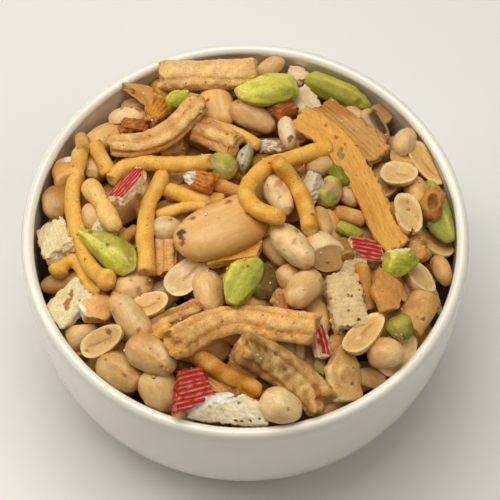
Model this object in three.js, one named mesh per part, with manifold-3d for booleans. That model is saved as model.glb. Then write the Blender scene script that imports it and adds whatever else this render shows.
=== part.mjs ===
// A small white bowl heaped with bar mix: fried noodles, peanuts, broad beans, pumpkin seeds and
// rice crackers. Millimetres, +Z up; the origin is the middle of the foot, and the viewer stands
// at -Y. The bowl is one turned solid. The mix is one solid too: a domed core that fills the bowl,
// with every piece that shows laid on it in turn, so that each rests on what lies below.

import * as THREE from 'three';
import { mergeVertices } from 'three/addons/utils/BufferGeometryUtils.js';
import Module from 'manifold-3d';

const wasm = await Module();
wasm.setup();

// ---- driving dimensions -------------------------------------------------------------------

const RIM_RADIUS = 60;        // outside of the bowl at its mouth
const BOWL_HEIGHT = 60;
const RIM_WALL = 3.2;         // wall thickness at the mouth
const WALL_GROWTH = 1.6;      // and how much thicker it is by the floor
const INSIDE_SHALLOW = 0.07;  // the inside rounds in this share sooner than the outside
const BASE_WALL = 5;          // thickness of the floor of the bowl
const FLOOR_ROUND = 10;       // width of the curve from the side into the floor
const FLOOR_DISH = 0.4;       // how far the floor dips towards its middle
const RIM_ROUND = 1.6;        // edge radius of the rim, outside and inside
const SIDE_DROP = 4;          // the side is straight this far below the mouth
const SIDE_SWELL = 0.45;      // and then swells by this much before it rounds in
const SIDE_POWER = 3.64;      // squareness of the rounded side
const SIDE_DEPTH = 56;        // depth of the rounded side, if it ran on to the axis
const FOOT_RADIUS = 37;
const FOOT_WIDTH = 5;
const FOOT_HEIGHT = 3;
const FOOT_RECESS = 1.5;      // how far the middle of the base stands above the table
const BOWL_SIDES = 36;
const HEADROOM = 30;          // the mix may stand this far over the rim

const MIX_GAP = 0.4;          // the mix stays this far off the bowl
const MIX_CENTRE = 0.5;       // height of the core's top over the rim plane, in the middle
const MIX_EDGE = -7.5;        // and at the wall
const MIX_HOLLOW = 4.0;       // how much lower it is at the wall on the back left
const MIX_FALL = 2.6;         // power of the dome's fall from the middle to the wall
const CELL = 1;               // spacing of the grid that holds the heights of the heap
const SETTLE = 0.92;          // share of the ground under a piece that it clears as it settles
const BITE = 0.7;             // how far each piece is sunk into what it lies on
const HOLD = 1;               // each piece shares at least this many cubic millimetres with the heap
const SINK = 0.3;             // and is let down in such steps until it does
const SINK_STEPS = 12;
const CORE_SIDES = 16;
const SMALLEST = 7;           // shorter pieces raise the ground, but are too small to be solids
const TOP_LEVEL = 5;          // pieces are laid level by level, from 0 up to this one

// ---- the photograph's view ----------------------------------------------------------------
// Each piece is placed where the photograph shows its middle or its bends, in pixels of a
// 500 x 500 frame. A pixel and a height over the rim plane give one place in the bowl.

const VIEW_TILT = THREE.MathUtils.degToRad(61.8);
const VIEW_DISTANCE = 480;    // from the middle of the mouth to the eye
const VIEW_SCALE = 1790;      // pixels per unit of tangent
const MOUTH_PX = { u: 245.25, v: 228 };
const RING_PX = 28;           // one ring of facets for each such length of a stick

function placeOf([u, v], height) {
  const rise = (MOUTH_PX.v - v) / VIEW_SCALE;
  const sin = Math.sin(VIEW_TILT);
  const cos = Math.cos(VIEW_TILT);
  const y = (rise * (VIEW_DISTANCE - height * sin) - height * cos) / (sin - rise * cos);
  const x = ((u - MOUTH_PX.u) / VIEW_SCALE) * (VIEW_DISTANCE + y * cos - height * sin);
  return new THREE.Vector3(x, y, height);
}

// ---- the bowl -----------------------------------------------------------------------------

const RIM_Z = BOWL_HEIGHT;
const sideRadius = (depth) => {
  const share = Math.max(0, depth - SIDE_DROP) / SIDE_DEPTH;
  const swell = SIDE_SWELL * Math.min(1, depth / SIDE_DROP);
  return (RIM_RADIUS + swell) * Math.pow(1 - Math.pow(share, SIDE_POWER), 1 / SIDE_POWER);
};
const FLOOR_Z = FOOT_HEIGHT + BASE_WALL;
const insideRadius = (depth) => {
  const share = Math.min(1, depth / (BOWL_HEIGHT - FLOOR_Z));
  return sideRadius(depth * (1 + INSIDE_SHALLOW * share)) - RIM_WALL - WALL_GROWTH * share;
};

function arc(centreX, centreY, radius, from, to, steps) {
  return Array.from({ length: steps + 1 }, (_, i) => {
    const angle = from + ((to - from) * i) / steps;
    return new THREE.Vector2(centreX + radius * Math.cos(angle), centreY + radius * Math.sin(angle));
  });
}

function bowlGeometry() {
  const outside = [55.6, 53, 49.5, 45, 39, 32, 24, 16, 8];
  const inside = [5, 12, 22, 31, 38, 43, 47, 50];
  const deepest = inside[inside.length - 1];
  const profile = [
    new THREE.Vector2(0, FOOT_RECESS),
    new THREE.Vector2(FOOT_RADIUS - FOOT_WIDTH - 1, FOOT_RECESS),
    new THREE.Vector2(FOOT_RADIUS - FOOT_WIDTH, 0),
    new THREE.Vector2(FOOT_RADIUS - 0.8, 0),
    new THREE.Vector2(FOOT_RADIUS, 0.8),
    new THREE.Vector2(FOOT_RADIUS + 0.6, FOOT_HEIGHT),
    ...outside.map((depth) => new THREE.Vector2(sideRadius(depth), RIM_Z - depth)),
    ...arc(RIM_RADIUS - RIM_ROUND, RIM_Z - RIM_ROUND, RIM_ROUND, 0, Math.PI, 6),
    ...inside.map((depth) => new THREE.Vector2(insideRadius(depth), RIM_Z - depth)),
    new THREE.Vector2(insideRadius(deepest) - FLOOR_ROUND, FLOOR_Z + FLOOR_DISH),
    new THREE.Vector2(0, FLOOR_Z),
  ];
  return new THREE.LatheGeometry(profile, BOWL_SIDES).rotateX(Math.PI / 2);
}

// ---- the ground that pieces are laid on ---------------------------------------------------

const HOLLOW_TURN = THREE.MathUtils.degToRad(140);
function coreTop(x, y) {
  const reach = Math.min(1, Math.hypot(x, y) / (RIM_RADIUS - RIM_WALL));
  const side = Math.max(0, Math.cos(Math.atan2(y, x) - HOLLOW_TURN));
  const fall = Math.pow(reach, MIX_FALL);
  return MIX_CENTRE + (MIX_EDGE - MIX_CENTRE) * fall - MIX_HOLLOW * Math.pow(side * reach, 4);
}

const GRID = Math.ceil(RIM_RADIUS / CELL);
const GRID_WIDTH = 2 * GRID + 1;
const cellOf = (x, y) => {
  const column = THREE.MathUtils.clamp(Math.round(x / CELL) + GRID, 0, GRID_WIDTH - 1);
  const row = THREE.MathUtils.clamp(Math.round(y / CELL) + GRID, 0, GRID_WIDTH - 1);
  return row * GRID_WIDTH + column;
};
const ground = Float64Array.from({ length: GRID_WIDTH * GRID_WIDTH }, (_, i) =>
  coreTop(((i % GRID_WIDTH) - GRID) * CELL, (Math.floor(i / GRID_WIDTH) - GRID) * CELL));

// Least squares by the normal equations: the slopes of the bed that fits the ground best.
function fit(rows, values) {
  const size = rows[0].length;
  const grid = Array.from({ length: size }, (_, i) => [
    ...Array.from({ length: size }, (_, j) => rows.reduce((sum, row) => sum + row[i] * row[j], 0)),
    rows.reduce((sum, row, k) => sum + row[i] * values[k], 0),
  ]);
  for (let i = 0; i < size; i += 1) {
    grid[i][i] += 1e-6;
    for (let j = 0; j < size; j += 1) {
      if (j === i) continue;
      const share = grid[j][i] / grid[i][i];
      grid[j] = grid[j].map((value, k) => value - share * grid[i][k]);
    }
  }
  return grid.map((row, i) => row[size] / row[i]);
}

// ---- laying one piece ---------------------------------------------------------------------
// A piece has either a path of bends, or a middle, a turn and a length. Its bed is the curve
// that its middle line follows, with the way up at each point of it. turn runs clockwise from
// the right of the photograph; roll and tip lean a piece about and along its length.

const ALONG = 9;              // places along a piece where it feels the ground
const ACROSS = [-0.8, -0.4, 0, 0.4, 0.8];
const LAY_ROUNDS = 4;         // its height and its place in the bowl settle together
const STEEPEST = 0.7;         // steepest slope across a piece

// How far the belly of a piece hangs below its middle line, at one place in its outline.
function bellyAt(piece, s, share) {
  const half = (piece.thick ?? piece.wide) / 2;
  if (piece.flat) return half;
  const end = piece.path ? 0 : Math.pow(2 * s - 1, 2);
  return half * Math.sqrt(Math.max(0, 1 - share * share - end));
}

function middleLine(piece, heightAt) {
  if (piece.path) {
    const last = piece.path.length - 1;
    return piece.path.map((point, i) => placeOf(point, heightAt(i / last)));
  }
  const turn = THREE.MathUtils.degToRad(piece.turn ?? 0);
  const way = new THREE.Vector3(Math.cos(turn), -Math.sin(turn) / Math.sin(VIEW_TILT), 0).normalize();
  const middle = placeOf(piece.at, heightAt(0.5));
  return [-0.5, 0, 0.5].map((share) => {
    const point = middle.clone().addScaledVector(way, share * piece.long);
    return point.setZ(heightAt(share + 0.5));
  });
}

function lay(piece) {
  const half = piece.wide / 2;
  const bends = piece.path && piece.path.length > 3;
  let heightAt = () => 0;
  let lean = 0;
  for (let again = 0; again < LAY_ROUNDS; again += 1) {
    const line = new THREE.CatmullRomCurve3(middleLine(piece, heightAt));
    const rows = [];
    const heights = [];
    const bellies = [];
    for (let i = 0; i < ALONG; i += 1) {
      const s = i / (ALONG - 1);
      const point = line.getPoint(s);
      const way = line.getTangent(s).setZ(0).normalize();
      for (const share of ACROSS) {
        const across = share * half;
        rows.push(bends ? [1, s, across, s * s] : [1, s, across, 0]);
        heights.push(ground[cellOf(point.x - way.y * across, point.y + way.x * across)]);
        bellies.push(bellyAt(piece, s, share));
      }
    }
    const [level, slope, roll, bow] = fit(rows, heights);
    const over = rows.map((row, i) => {
      const bed = level + slope * row[1] + roll * row[2] + bow * row[3];
      return heights[i] + bellies[i] - bed;
    });
    const lift = over.sort((a, b) => a - b)[Math.floor(over.length * SETTLE)];
    const rest = level + lift - BITE + (piece.lift ?? 0);
    const tip = (piece.tip ?? 0) * (piece.long ?? 0);
    heightAt = (s) => rest + slope * s + bow * s * s + tip * (s - 0.5);
    lean = THREE.MathUtils.clamp(roll, -STEEPEST, STEEPEST) + (piece.roll ?? 0);
  }
  const curve = new THREE.CatmullRomCurve3(middleLine(piece, heightAt));
  return { curve, lean };
}

function frameAt({ curve, lean }, share) {
  const s = THREE.MathUtils.clamp(share, 0, 1);
  const way = curve.getTangent(s);
  const left = new THREE.Vector3(-way.y, way.x, 0).normalize();
  const across = left.applyAxisAngle(way, Math.atan(lean));
  const up = new THREE.Vector3().crossVectors(way, across);
  const beyond = (share - s) * curve.getLength();
  return { point: curve.getPoint(s).addScaledVector(way, beyond), across, up };
}

// After a piece is laid, the ground under it rises to its back.
const STRIDE = 0.6;           // spacing of the places that are raised
function raiseGround(piece, bed) {
  const half = piece.wide / 2;
  const thick = piece.thick ?? piece.wide;
  const steps = Math.ceil(bed.curve.getLength() / STRIDE);
  for (let i = 0; i <= steps; i += 1) {
    const s = i / steps;
    const { point, across, up } = frameAt(bed, s);
    const end = piece.path ? 1 : Math.sqrt(Math.max(0, 1 - Math.pow(2 * s - 1, 2)));
    for (let share = -1; share <= 1; share += STRIDE / piece.wide) {
      const back = piece.flat ? 1 : Math.sqrt(1 - share * share);
      const skin = point.clone().addScaledVector(across, share * half * end);
      skin.addScaledVector(up, (thick / 2) * back * (piece.flat ? 1 : end));
      const cell = cellOf(skin.x, skin.y);
      ground[cell] = Math.max(ground[cell], skin.z);
    }
  }
}

// ---- the forms of the pieces --------------------------------------------------------------
// Each form is built with x from -1 to 1 along the piece, and y and z across and up in
// half widths and half thicknesses; settle() then carries every point to the piece's bed.

const round = (sides, rings) => new THREE.SphereGeometry(1, sides, rings).rotateZ(-Math.PI / 2);
const tube = (sides, rings) => new THREE.CylinderGeometry(1, 1, 2, sides, rings).rotateZ(-Math.PI / 2);

function reshape(geometry, change) {
  const points = geometry.attributes.position;
  const point = new THREE.Vector3();
  for (let i = 0; i < points.count; i += 1) {
    change(point.fromBufferAttribute(points, i));
    points.setXYZ(i, point.x, point.y, point.z);
  }
  return geometry;
}

// A peanut kernel is an egg, a broad bean a fat kidney, and a half is a kernel with one face cut
// flat. A seed runs to a point at its +x end.
const kernelForm = () => reshape(round(6, 5), (p) => {
  const belly = 1 - 0.16 * p.x;
  p.y *= belly;
  p.z *= belly;
});
const beanForm = () => reshape(round(8, 6), (p) => {
  p.y = (p.y - 0.1 * (1 - p.x * p.x)) * (1 + 0.12 * p.x);
});
const halfForm = () => reshape(round(6, 5), (p) => {
  p.z = p.z > 0 ? 0.7 + 0.3 * p.z : 0.7 + 1.7 * p.z;
});
const seedForm = () => reshape(round(6, 5), (p) => {
  p.y *= 1 - 0.3 * p.x;
});
// Lumps and chips have uneven outlines; a chip is a little bent.
const chunkForm = (piece) => reshape(round(6, 4), (p) => {
  const knock = Math.sin(7 * p.x + 5 * p.y + 3 * p.z + piece.at[0]);
  p.multiplyScalar(1 + 0.14 * knock);
});
const chipForm = (piece) => reshape(new THREE.BoxGeometry(2, 2, 2, 2, 2, 1), (p) => {
  const knock = 0.1 * Math.sin(4 * p.x + 3 * p.y + piece.at[0]);
  p.z += 0.5 * (1 - p.y * p.y) - 0.25;
  p.x *= 0.95 + knock - 0.12 * p.y * p.y;
  p.y *= 0.95 - knock - 0.12 * p.x * p.x;
});
// Noodles are round, corn sticks have four ribs, and the long strip is a shallow gutter.
const ringsOf = (piece) => {
  const steps = piece.path.slice(1).map(([u, v], i) => Math.hypot(u - piece.path[i][0], v - piece.path[i][1]));
  return Math.ceil(steps.reduce((sum, step) => sum + step, 0) / RING_PX);
};
const noodleForm = (piece) => reshape(tube(6, ringsOf(piece)), (p) => {
  const end = Math.abs(p.x) > 0.999 ? 0.75 : 1;
  p.y *= end;
  p.z *= end;
});
const ridgeForm = (piece) => reshape(tube(8, ringsOf(piece)), (p) => {
  const ridge = 0.86 + 0.2 * Math.cos(4 * Math.atan2(p.z, p.y));
  p.y *= ridge;
  p.z *= ridge;
});
const stripForm = (piece) => reshape(new THREE.BoxGeometry(2, 2, 2, ringsOf(piece), 2, 1), (p) => {
  p.z += 0.4 * p.y * p.y;
  p.y *= 1 - 0.14 * p.x;
});

function settle(piece, form, bed) {
  const half = piece.wide / 2;
  const rise = (piece.thick ?? piece.wide) / 2;
  return reshape(form, (p) => {
    const { point, across, up } = frameAt(bed, (p.x + 1) / 2);
    p.copy(point.addScaledVector(across, p.y * half).addScaledVector(up, p.z * rise));
  });
}

// ---- what the mix holds -------------------------------------------------------------------
// Places are photograph pixels; long, wide and thick are millimetres.

const NOODLES = [
  {
    path: [[80, 147], [76, 175], [72, 200], [75, 222], [84, 250], [95, 273], [112, 282]],
    wide: 4.5,
    level: 3,
  },
  { path: [[81, 135], [84, 152]], wide: 3.8, level: 1 },
  { path: [[55, 277], [60, 265], [72, 260], [83, 269], [90, 284], [104, 294]], wide: 4.3, level: 2 },
  { path: [[95, 141], [102, 158], [110, 173]], wide: 4.2, level: 2 },
  { path: [[112, 181], [122, 170], [137, 164], [175, 164], [212, 162]], wide: 4.4, level: 4 },
  { path: [[89, 183], [100, 198], [111, 220], [121, 234]], wide: 5.2, level: 3 },
  { path: [[121, 240], [138, 228]], wide: 3.2, level: 1 },
  { path: [[160, 171], [151, 195], [145, 222], [144, 245], [149, 270]], wide: 4.4, level: 3 },
  {
    path: [[320, 152], [295, 158], [266, 166], [250, 181], [248, 197], [260, 211], [283, 218]],
    wide: 4.6,
    level: 4,
  },
  { path: [[266, 158], [285, 175], [299, 196], [308, 214], [310, 232]], wide: 4.3, level: 5 },
  { path: [[149, 75], [168, 94]], wide: 3.8, level: 2 },
  { path: [[203, 122], [235, 131], [262, 144]], wide: 2.6, level: 1 },
  { path: [[194, 174], [220, 186], [248, 197]], wide: 3.4, level: 1 },
  { path: [[165, 190], [190, 197], [217, 198]], wide: 4.0, level: 1 },
  { path: [[157, 213], [180, 207], [207, 203]], wide: 2.8, level: 0 },
  { path: [[334, 211], [350, 214], [366, 221]], wide: 4.3, level: 1 },
  { path: [[366, 262], [369, 290], [371, 314]], wide: 3.5, level: 2 },
  { path: [[156, 336], [171, 325]], wide: 3.0, level: 2 },
  { path: [[177, 349], [215, 366], [262, 394]], wide: 4.5, level: 3 },
];

const RIDGED_STICKS = [
  { path: [[164, 78], [210, 75], [256, 76]], wide: 8.5, thick: 7, level: 3 },
  { path: [[110, 146], [140, 143], [165, 134], [182, 118], [199, 101]], wide: 7.6, thick: 5.5, level: 3 },
  { path: [[196, 128], [238, 148]], wide: 6.6, thick: 5, level: 2 },
  { path: [[150, 327], [175, 314], [199, 306]], wide: 6, thick: 4.5, level: 2 },
  { path: [[173, 338], [200, 327], [232, 319], [265, 322], [316, 331]], wide: 8, thick: 6, level: 4 },
  { path: [[242, 346], [275, 358], [300, 377], [322, 405]], wide: 9.4, thick: 6, level: 3 },
  { path: [[165, 237], [163, 277]], wide: 5.2, thick: 4.4, level: 2 },
];

const STRIPS = [
  {
    path: [[298, 117], [330, 138], [352, 166], [371, 200], [385, 232], [397, 250]],
    wide: 8.2,
    thick: 2.2,
    level: 4,
  },
  { path: [[322, 110], [350, 128], [383, 162]], wide: 7.5, thick: 2.4, level: 3 },
];

const BEANS = [
  { at: [221, 227], turn: -25, long: 27, wide: 16.5, thick: 10.5, level: 3 },
  { at: [217, 108], turn: 80, long: 14, wide: 11.5, thick: 7, level: 1 },
  { at: [105, 138], turn: -35, long: 14, wide: 10, thick: 7, level: 1 },
];

const KERNELS = [
  { at: [253, 117], turn: 12, long: 14, wide: 7.2, level: 2 },
  { at: [57, 204], turn: 80, long: 10, wide: 8.4, level: 2 },
  { at: [94, 216], turn: 70, long: 8.5, wide: 6.8, level: 1 },
  { at: [281, 195], turn: 70, long: 12.5, wide: 7.4, level: 2 },
  { at: [296, 249], turn: 50, long: 16.5, wide: 9.4, level: 3 },
  { at: [306, 291], turn: -54, long: 13.5, wide: 9.2, level: 2 },
  { at: [288, 283], turn: 60, long: 9, wide: 7.6, level: 1 },
  { at: [129, 316], turn: 51, long: 16, wide: 8.2, level: 3 },
  { at: [132, 287], turn: -15, long: 10.5, wide: 7.8, level: 2 },
  { at: [120, 373], turn: 27, long: 13.5, wide: 10, level: 2 },
  { at: [151, 355], turn: 33, long: 15, wide: 10.2, level: 3 },
  { at: [157, 392], turn: 60, long: 11.5, wide: 10, level: 2 },
  { at: [283, 408], turn: 5, long: 11.3, wide: 8.8, level: 3 },
  { at: [386, 353], turn: 5, long: 9.8, wide: 8, level: 2 },
  { at: [167, 228], turn: 0, long: 8, wide: 6.8, level: 0 },
  { at: [94, 163], turn: 80, long: 10, wide: 7, level: 0 },
  { at: [184, 86], turn: 20, long: 12, wide: 7, thick: 5, level: 0 },
  { at: [236, 86], turn: -30, long: 12, wide: 7, thick: 5, level: 0 },
  { at: [321, 166], turn: -10, long: 9, wide: 6, level: 0 },
  { at: [255, 301], turn: 0, long: 9, wide: 7, level: 1 },
  { at: [325, 250], turn: 40, long: 12, wide: 9, level: 2 },
  { at: [275, 253], turn: 55, long: 9.5, wide: 6.4, level: 1 },
  { at: [185, 416], turn: -10, long: 8, wide: 6, level: 1 },
  { at: [326, 409], turn: -20, long: 10, wide: 6, level: 0 },
];

const HALVES = [
  { at: [126, 114], turn: -2, long: 10, wide: 5.6, thick: 3.6, level: 2 },
  { at: [130, 101], turn: 8, long: 8, wide: 4.6, thick: 3.4, level: 1 },
  { at: [270, 60], turn: -30, long: 9.5, wide: 6, thick: 3.6, tip: 0.45, lift: 1, level: 4 },
  { at: [288, 131], turn: 80, long: 9.5, wide: 4.4, thick: 4, level: 2 },
  { at: [403, 139], turn: -60, long: 9.5, wide: 6.6, thick: 4, level: 2 },
  { at: [428, 163], turn: 49, long: 14, wide: 6.4, thick: 4, level: 3 },
  { at: [421, 143], turn: 40, long: 7, wide: 4, thick: 3.4, level: 1 },
  { at: [399, 177], turn: 15, long: 10.3, wide: 8, thick: 4, level: 3 },
  { at: [418, 190], turn: 75, long: 10.5, wide: 6, thick: 4, level: 2 },
  { at: [407, 216], turn: 82, long: 13.6, wide: 7.4, thick: 4.4, level: 4 },
  { at: [428, 283], turn: 70, long: 11, wide: 8.6, thick: 4.4, level: 3 },
  { at: [443, 269], turn: 65, long: 9, wide: 5, thick: 3.6, level: 1 },
  { at: [409, 292], turn: 60, long: 9, wide: 6, thick: 4, level: 1 },
  { at: [365, 336], turn: -49, long: 15, wide: 8.2, thick: 4.6, level: 4 },
  { at: [403, 360], turn: -48, long: 14, wide: 7.6, thick: 4.4, level: 1 },
  { at: [320, 219], turn: 70, long: 10, wide: 5, thick: 3.6, level: 2 },
  { at: [330, 227], turn: 65, long: 11.5, wide: 6.6, thick: 4, level: 1 },
  { at: [342, 262], turn: 60, long: 11, wide: 7, thick: 4.4, level: 1 },
  { at: [187, 277], turn: -35, long: 13.5, wide: 8.4, thick: 4, level: 2 },
  { at: [208, 291], turn: 75, long: 12.5, wide: 7.4, thick: 5, level: 2 },
  { at: [152, 304], turn: -20, long: 9, wide: 6, thick: 4, level: 2 },
  { at: [79, 332], turn: -10, long: 9.5, wide: 7.6, thick: 4.4, level: 2 },
  { at: [105, 340], turn: -20, long: 13.2, wide: 7.2, thick: 4.4, level: 3 },
  { at: [320, 316], turn: 60, long: 11, wide: 7, thick: 4, level: 1 },
];

const SEEDS = [
  { at: [110, 249], turn: -145, long: 20, wide: 9, thick: 6.2, level: 2 },
  { at: [265, 88], turn: -20, long: 18.5, wide: 10.5, thick: 8, level: 4 },
  { at: [338, 91], turn: 23, long: 20.5, wide: 8.4, thick: 6.4, level: 3 },
  { at: [439, 212], turn: 68, long: 19, wide: 8.6, thick: 4.4, level: 1 },
  { at: [349, 231], turn: 12, long: 8.6, wide: 4.8, thick: 4, level: 2 },
  { at: [339, 175], turn: 60, long: 8, wide: 4.8, thick: 4, level: 1 },
  { at: [320, 365], turn: 80, long: 6, wide: 3.6, thick: 3, level: 2 },
  { at: [244, 158], turn: -70, long: 8.6, wide: 3.8, thick: 4, level: 3 },
];

const CHUNKS = [
  { at: [180, 95], turn: -10, long: 6.2, wide: 4.6, thick: 4, level: 3 },
  { at: [405, 260], turn: -50, long: 11, wide: 9.4, thick: 7, level: 4 },
  { at: [238, 280], turn: -58, long: 14, wide: 10.4, thick: 8, level: 4 },
  { at: [399, 326], turn: 10, long: 7.6, wide: 6.8, thick: 5.4, level: 3 },
  { at: [186, 364], turn: 0, long: 8, wide: 6, level: 1 },
  { at: [263, 283], turn: 80, long: 10, wide: 8, thick: 7, level: 1 },
  { at: [221, 165], turn: 0, long: 8.4, wide: 8.4, thick: 6.6, level: 3 },
  { at: [329, 191], turn: 60, long: 8.4, wide: 8, thick: 6.6, level: 2 },
  { at: [281, 303], turn: 80, long: 5, wide: 4, level: 1 },
  { at: [312, 188], turn: 60, long: 8, wide: 4.4, level: 2 },
  { at: [432, 204], turn: -75, long: 9.5, wide: 6.2, thick: 5, level: 2 },
  { at: [425, 248], turn: 70, long: 8, wide: 5.4, level: 2 },
  { at: [336, 343], turn: -45, long: 6, wide: 4.4, level: 2 },
  { at: [244, 368], turn: 30, long: 7, wide: 6, thick: 5, level: 2 },
  { at: [248, 353], turn: 10, long: 7, wide: 5, level: 2 },
  { at: [219, 390], turn: 30, long: 8, wide: 6.4, thick: 5, level: 2 },
  { at: [245, 402], turn: 25, long: 8, wide: 5, level: 1 },
];

const CHIPS = [
  { at: [130, 187], turn: -52, long: 12.4, wide: 6, thick: 3.4, roll: -0.5, level: 5 },
  { at: [366, 249], turn: 20, long: 9.6, wide: 6.6, thick: 3, level: 2 },
  { at: [190, 392], turn: -45, long: 12, wide: 8.2, thick: 4, level: 3 },
  { at: [320, 341], turn: 75, long: 8.5, wide: 4.2, thick: 3.4, level: 3 },
  { at: [56, 241], turn: 70, long: 12.6, wide: 9, thick: 3.6, level: 2 },
  { at: [68, 303], turn: -35, long: 12.4, wide: 9.4, thick: 4, level: 2 },
  { at: [347, 304], turn: 82, long: 13.4, wide: 9.6, thick: 4.4, level: 3 },
  { at: [230, 413], turn: 3, long: 19, wide: 8.4, thick: 4, level: 2 },
  { at: [304, 101], turn: 60, long: 9.4, wide: 8, thick: 3, level: 1 },
  { at: [300, 71], turn: 40, long: 5.4, wide: 4.8, thick: 2.6, level: 2 },
  { at: [352, 270], turn: 0, long: 6.6, wide: 5.6, thick: 3, level: 1 },
  { at: [355, 253], turn: 60, long: 6, wide: 5, thick: 3, level: 1 },
  { at: [142, 90], turn: 50, long: 7.4, wide: 6.6, thick: 3, level: 3 },
  { at: [63, 172], turn: 70, long: 9, wide: 7.6, thick: 4, level: 2 },
  { at: [97, 312], turn: -35, long: 7.4, wide: 7, thick: 3.6, level: 1 },
  { at: [240, 254], turn: -18, long: 14, wide: 5, thick: 2.6, level: 2 },
  { at: [392, 293], turn: 70, long: 11.4, wide: 7.8, thick: 3.4, level: 3 },
  { at: [425, 320], turn: -55, long: 12.6, wide: 8.4, thick: 4, level: 2 },
  { at: [345, 377], turn: 84, long: 13.4, wide: 9.8, thick: 3.6, level: 3 },
  { at: [372, 378], turn: 0, long: 7, wide: 5.6, thick: 3, level: 0 },
  { at: [374, 127], turn: 57, long: 12.4, wide: 6, thick: 3, level: 2 },
  { at: [383, 117], turn: 50, long: 5, wide: 4, thick: 3, level: 1 },
  { at: [402, 160], turn: 0, long: 8, wide: 6, thick: 3, level: 0 },
  { at: [158, 110], turn: -65, long: 9, wide: 5.8, thick: 2.8, level: 2 },
  { at: [283, 107], turn: -40, long: 6.6, wide: 5.4, thick: 2.8, level: 2 },
  { at: [134, 126], turn: -5, long: 6.4, wide: 3.4, thick: 2.4, level: 1 },
  { at: [198, 180], turn: 10, long: 6.2, wide: 5, thick: 2.6, level: 1 },
  { at: [277, 146], turn: -5, long: 9, wide: 3.4, thick: 2.6, level: 1 },
];

const KINDS = [
  { pieces: NOODLES, form: noodleForm },
  { pieces: RIDGED_STICKS, form: ridgeForm },
  { pieces: STRIPS, form: stripForm, flat: true },
  { pieces: BEANS, form: beanForm },
  { pieces: KERNELS, form: kernelForm },
  { pieces: HALVES, form: halfForm },
  { pieces: SEEDS, form: seedForm },
  { pieces: CHUNKS, form: chunkForm },
  { pieces: CHIPS, form: chipForm, flat: true },
];

// ---- joining ------------------------------------------------------------------------------

function solidOf(geometry) {
  const bare = geometry.clone();
  bare.deleteAttribute('normal');
  bare.deleteAttribute('uv');
  const merged = mergeVertices(bare, 1e-4);
  return new wasm.Manifold(new wasm.Mesh({
    numProp: 3,
    vertProperties: Float32Array.from(merged.attributes.position.array),
    triVerts: Uint32Array.from(merged.index.array),
  }));
}

function geometryOf(solid) {
  const { vertProperties, triVerts } = solid.getMesh();
  const geometry = new THREE.BufferGeometry();
  geometry.setAttribute('position', new THREE.BufferAttribute(Float32Array.from(vertProperties), 3));
  geometry.setIndex(new THREE.BufferAttribute(Uint32Array.from(triVerts), 1));
  geometry.computeVertexNormals();
  return geometry;
}

// The core: it fills the bowl to just under the pieces, and its top falls to the wall all round.
function coreSolid() {
  const reaches = [1, 0.8, 0.5, 0];
  const profile = [
    new THREE.Vector2(0, -BOWL_HEIGHT),
    new THREE.Vector2(RIM_RADIUS, -BOWL_HEIGHT),
    ...reaches.map((reach) => new THREE.Vector2(reach * (RIM_RADIUS - RIM_WALL), 0)),
  ];
  const core = new THREE.LatheGeometry(profile, CORE_SIDES).rotateX(Math.PI / 2);
  return solidOf(reshape(core, (p) => {
    if (p.z > -1) p.z = coreTop(p.x, p.y);
  }));
}

// The room that the bowl leaves for the mix, with a gap to the wall, and open to above.
function roomSolid() {
  const depths = [49, 46, 42, 36, 28, 18, 8, 0];
  const floor = FLOOR_Z + FLOOR_DISH + MIX_GAP;
  const profile = [
    new THREE.Vector2(0, floor),
    new THREE.Vector2(insideRadius(depths[0]) - FLOOR_ROUND, floor),
    ...depths.map((depth) => new THREE.Vector2(insideRadius(depth) - MIX_GAP, RIM_Z - depth)),
    new THREE.Vector2(insideRadius(0) - MIX_GAP, RIM_Z + HEADROOM),
    new THREE.Vector2(0, RIM_Z + HEADROOM),
  ];
  return solidOf(new THREE.LatheGeometry(profile, BOWL_SIDES).rotateX(Math.PI / 2));
}

function mixGeometry() {
  const order = KINDS.flatMap(({ pieces, form, flat }) => pieces.map((piece) => ({ ...piece, form, flat })));
  const room = roomSolid();
  let heap = coreSolid().translate([0, 0, RIM_Z]).intersect(room);
  for (let level = 0; level <= TOP_LEVEL; level += 1) {
    for (const piece of order.filter((other) => other.level === level)) {
      const bed = lay(piece);
      raiseGround(piece, bed);
      if ((piece.long ?? SMALLEST) < SMALLEST) continue;
      let solid = solidOf(settle(piece, piece.form(piece), bed)).translate([0, 0, RIM_Z]);
      for (let step = 0; step < SINK_STEPS; step += 1) {
        if (solid.intersect(heap).intersect(room).volume() > HOLD) break;
        solid = solid.translate([0, 0, -SINK]);
      }
      heap = heap.add(solid.intersect(room));
    }
  }
  // Scraps that the wall cuts off are dropped.
  const whole = heap.decompose().sort((a, b) => b.volume() - a.volume());
  return geometryOf(whole[0]);
}

// ---- the scene graph ----------------------------------------------------------------------

const porcelain = new THREE.MeshStandardMaterial({ color: '#efece1', roughness: 0.25, metalness: 0 });
const toasted = new THREE.MeshStandardMaterial({ color: '#d9a85e', roughness: 0.75, metalness: 0 });

const bowl = new THREE.Mesh(bowlGeometry(), porcelain);
bowl.name = 'bowl';
const mix = new THREE.Mesh(mixGeometry(), toasted);
mix.name = 'bar_mix';

const barMixBowl = new THREE.Group();
barMixBowl.add(bowl, mix);

export default barMixBowl;
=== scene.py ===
# A bowl of bar mix: a white glazed bowl, and a heap of fried noodles, corn sticks, peanuts, broad
# beans, green seeds and rice crackers tipped into it. Sizes are millimetres, heights are over the
# plane of the rim, and places are pixels of a picture that is 500 wide and 500 high.

import math

import bpy
import numpy as np
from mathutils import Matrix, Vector
from mathutils.bvhtree import BVHTree


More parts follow.
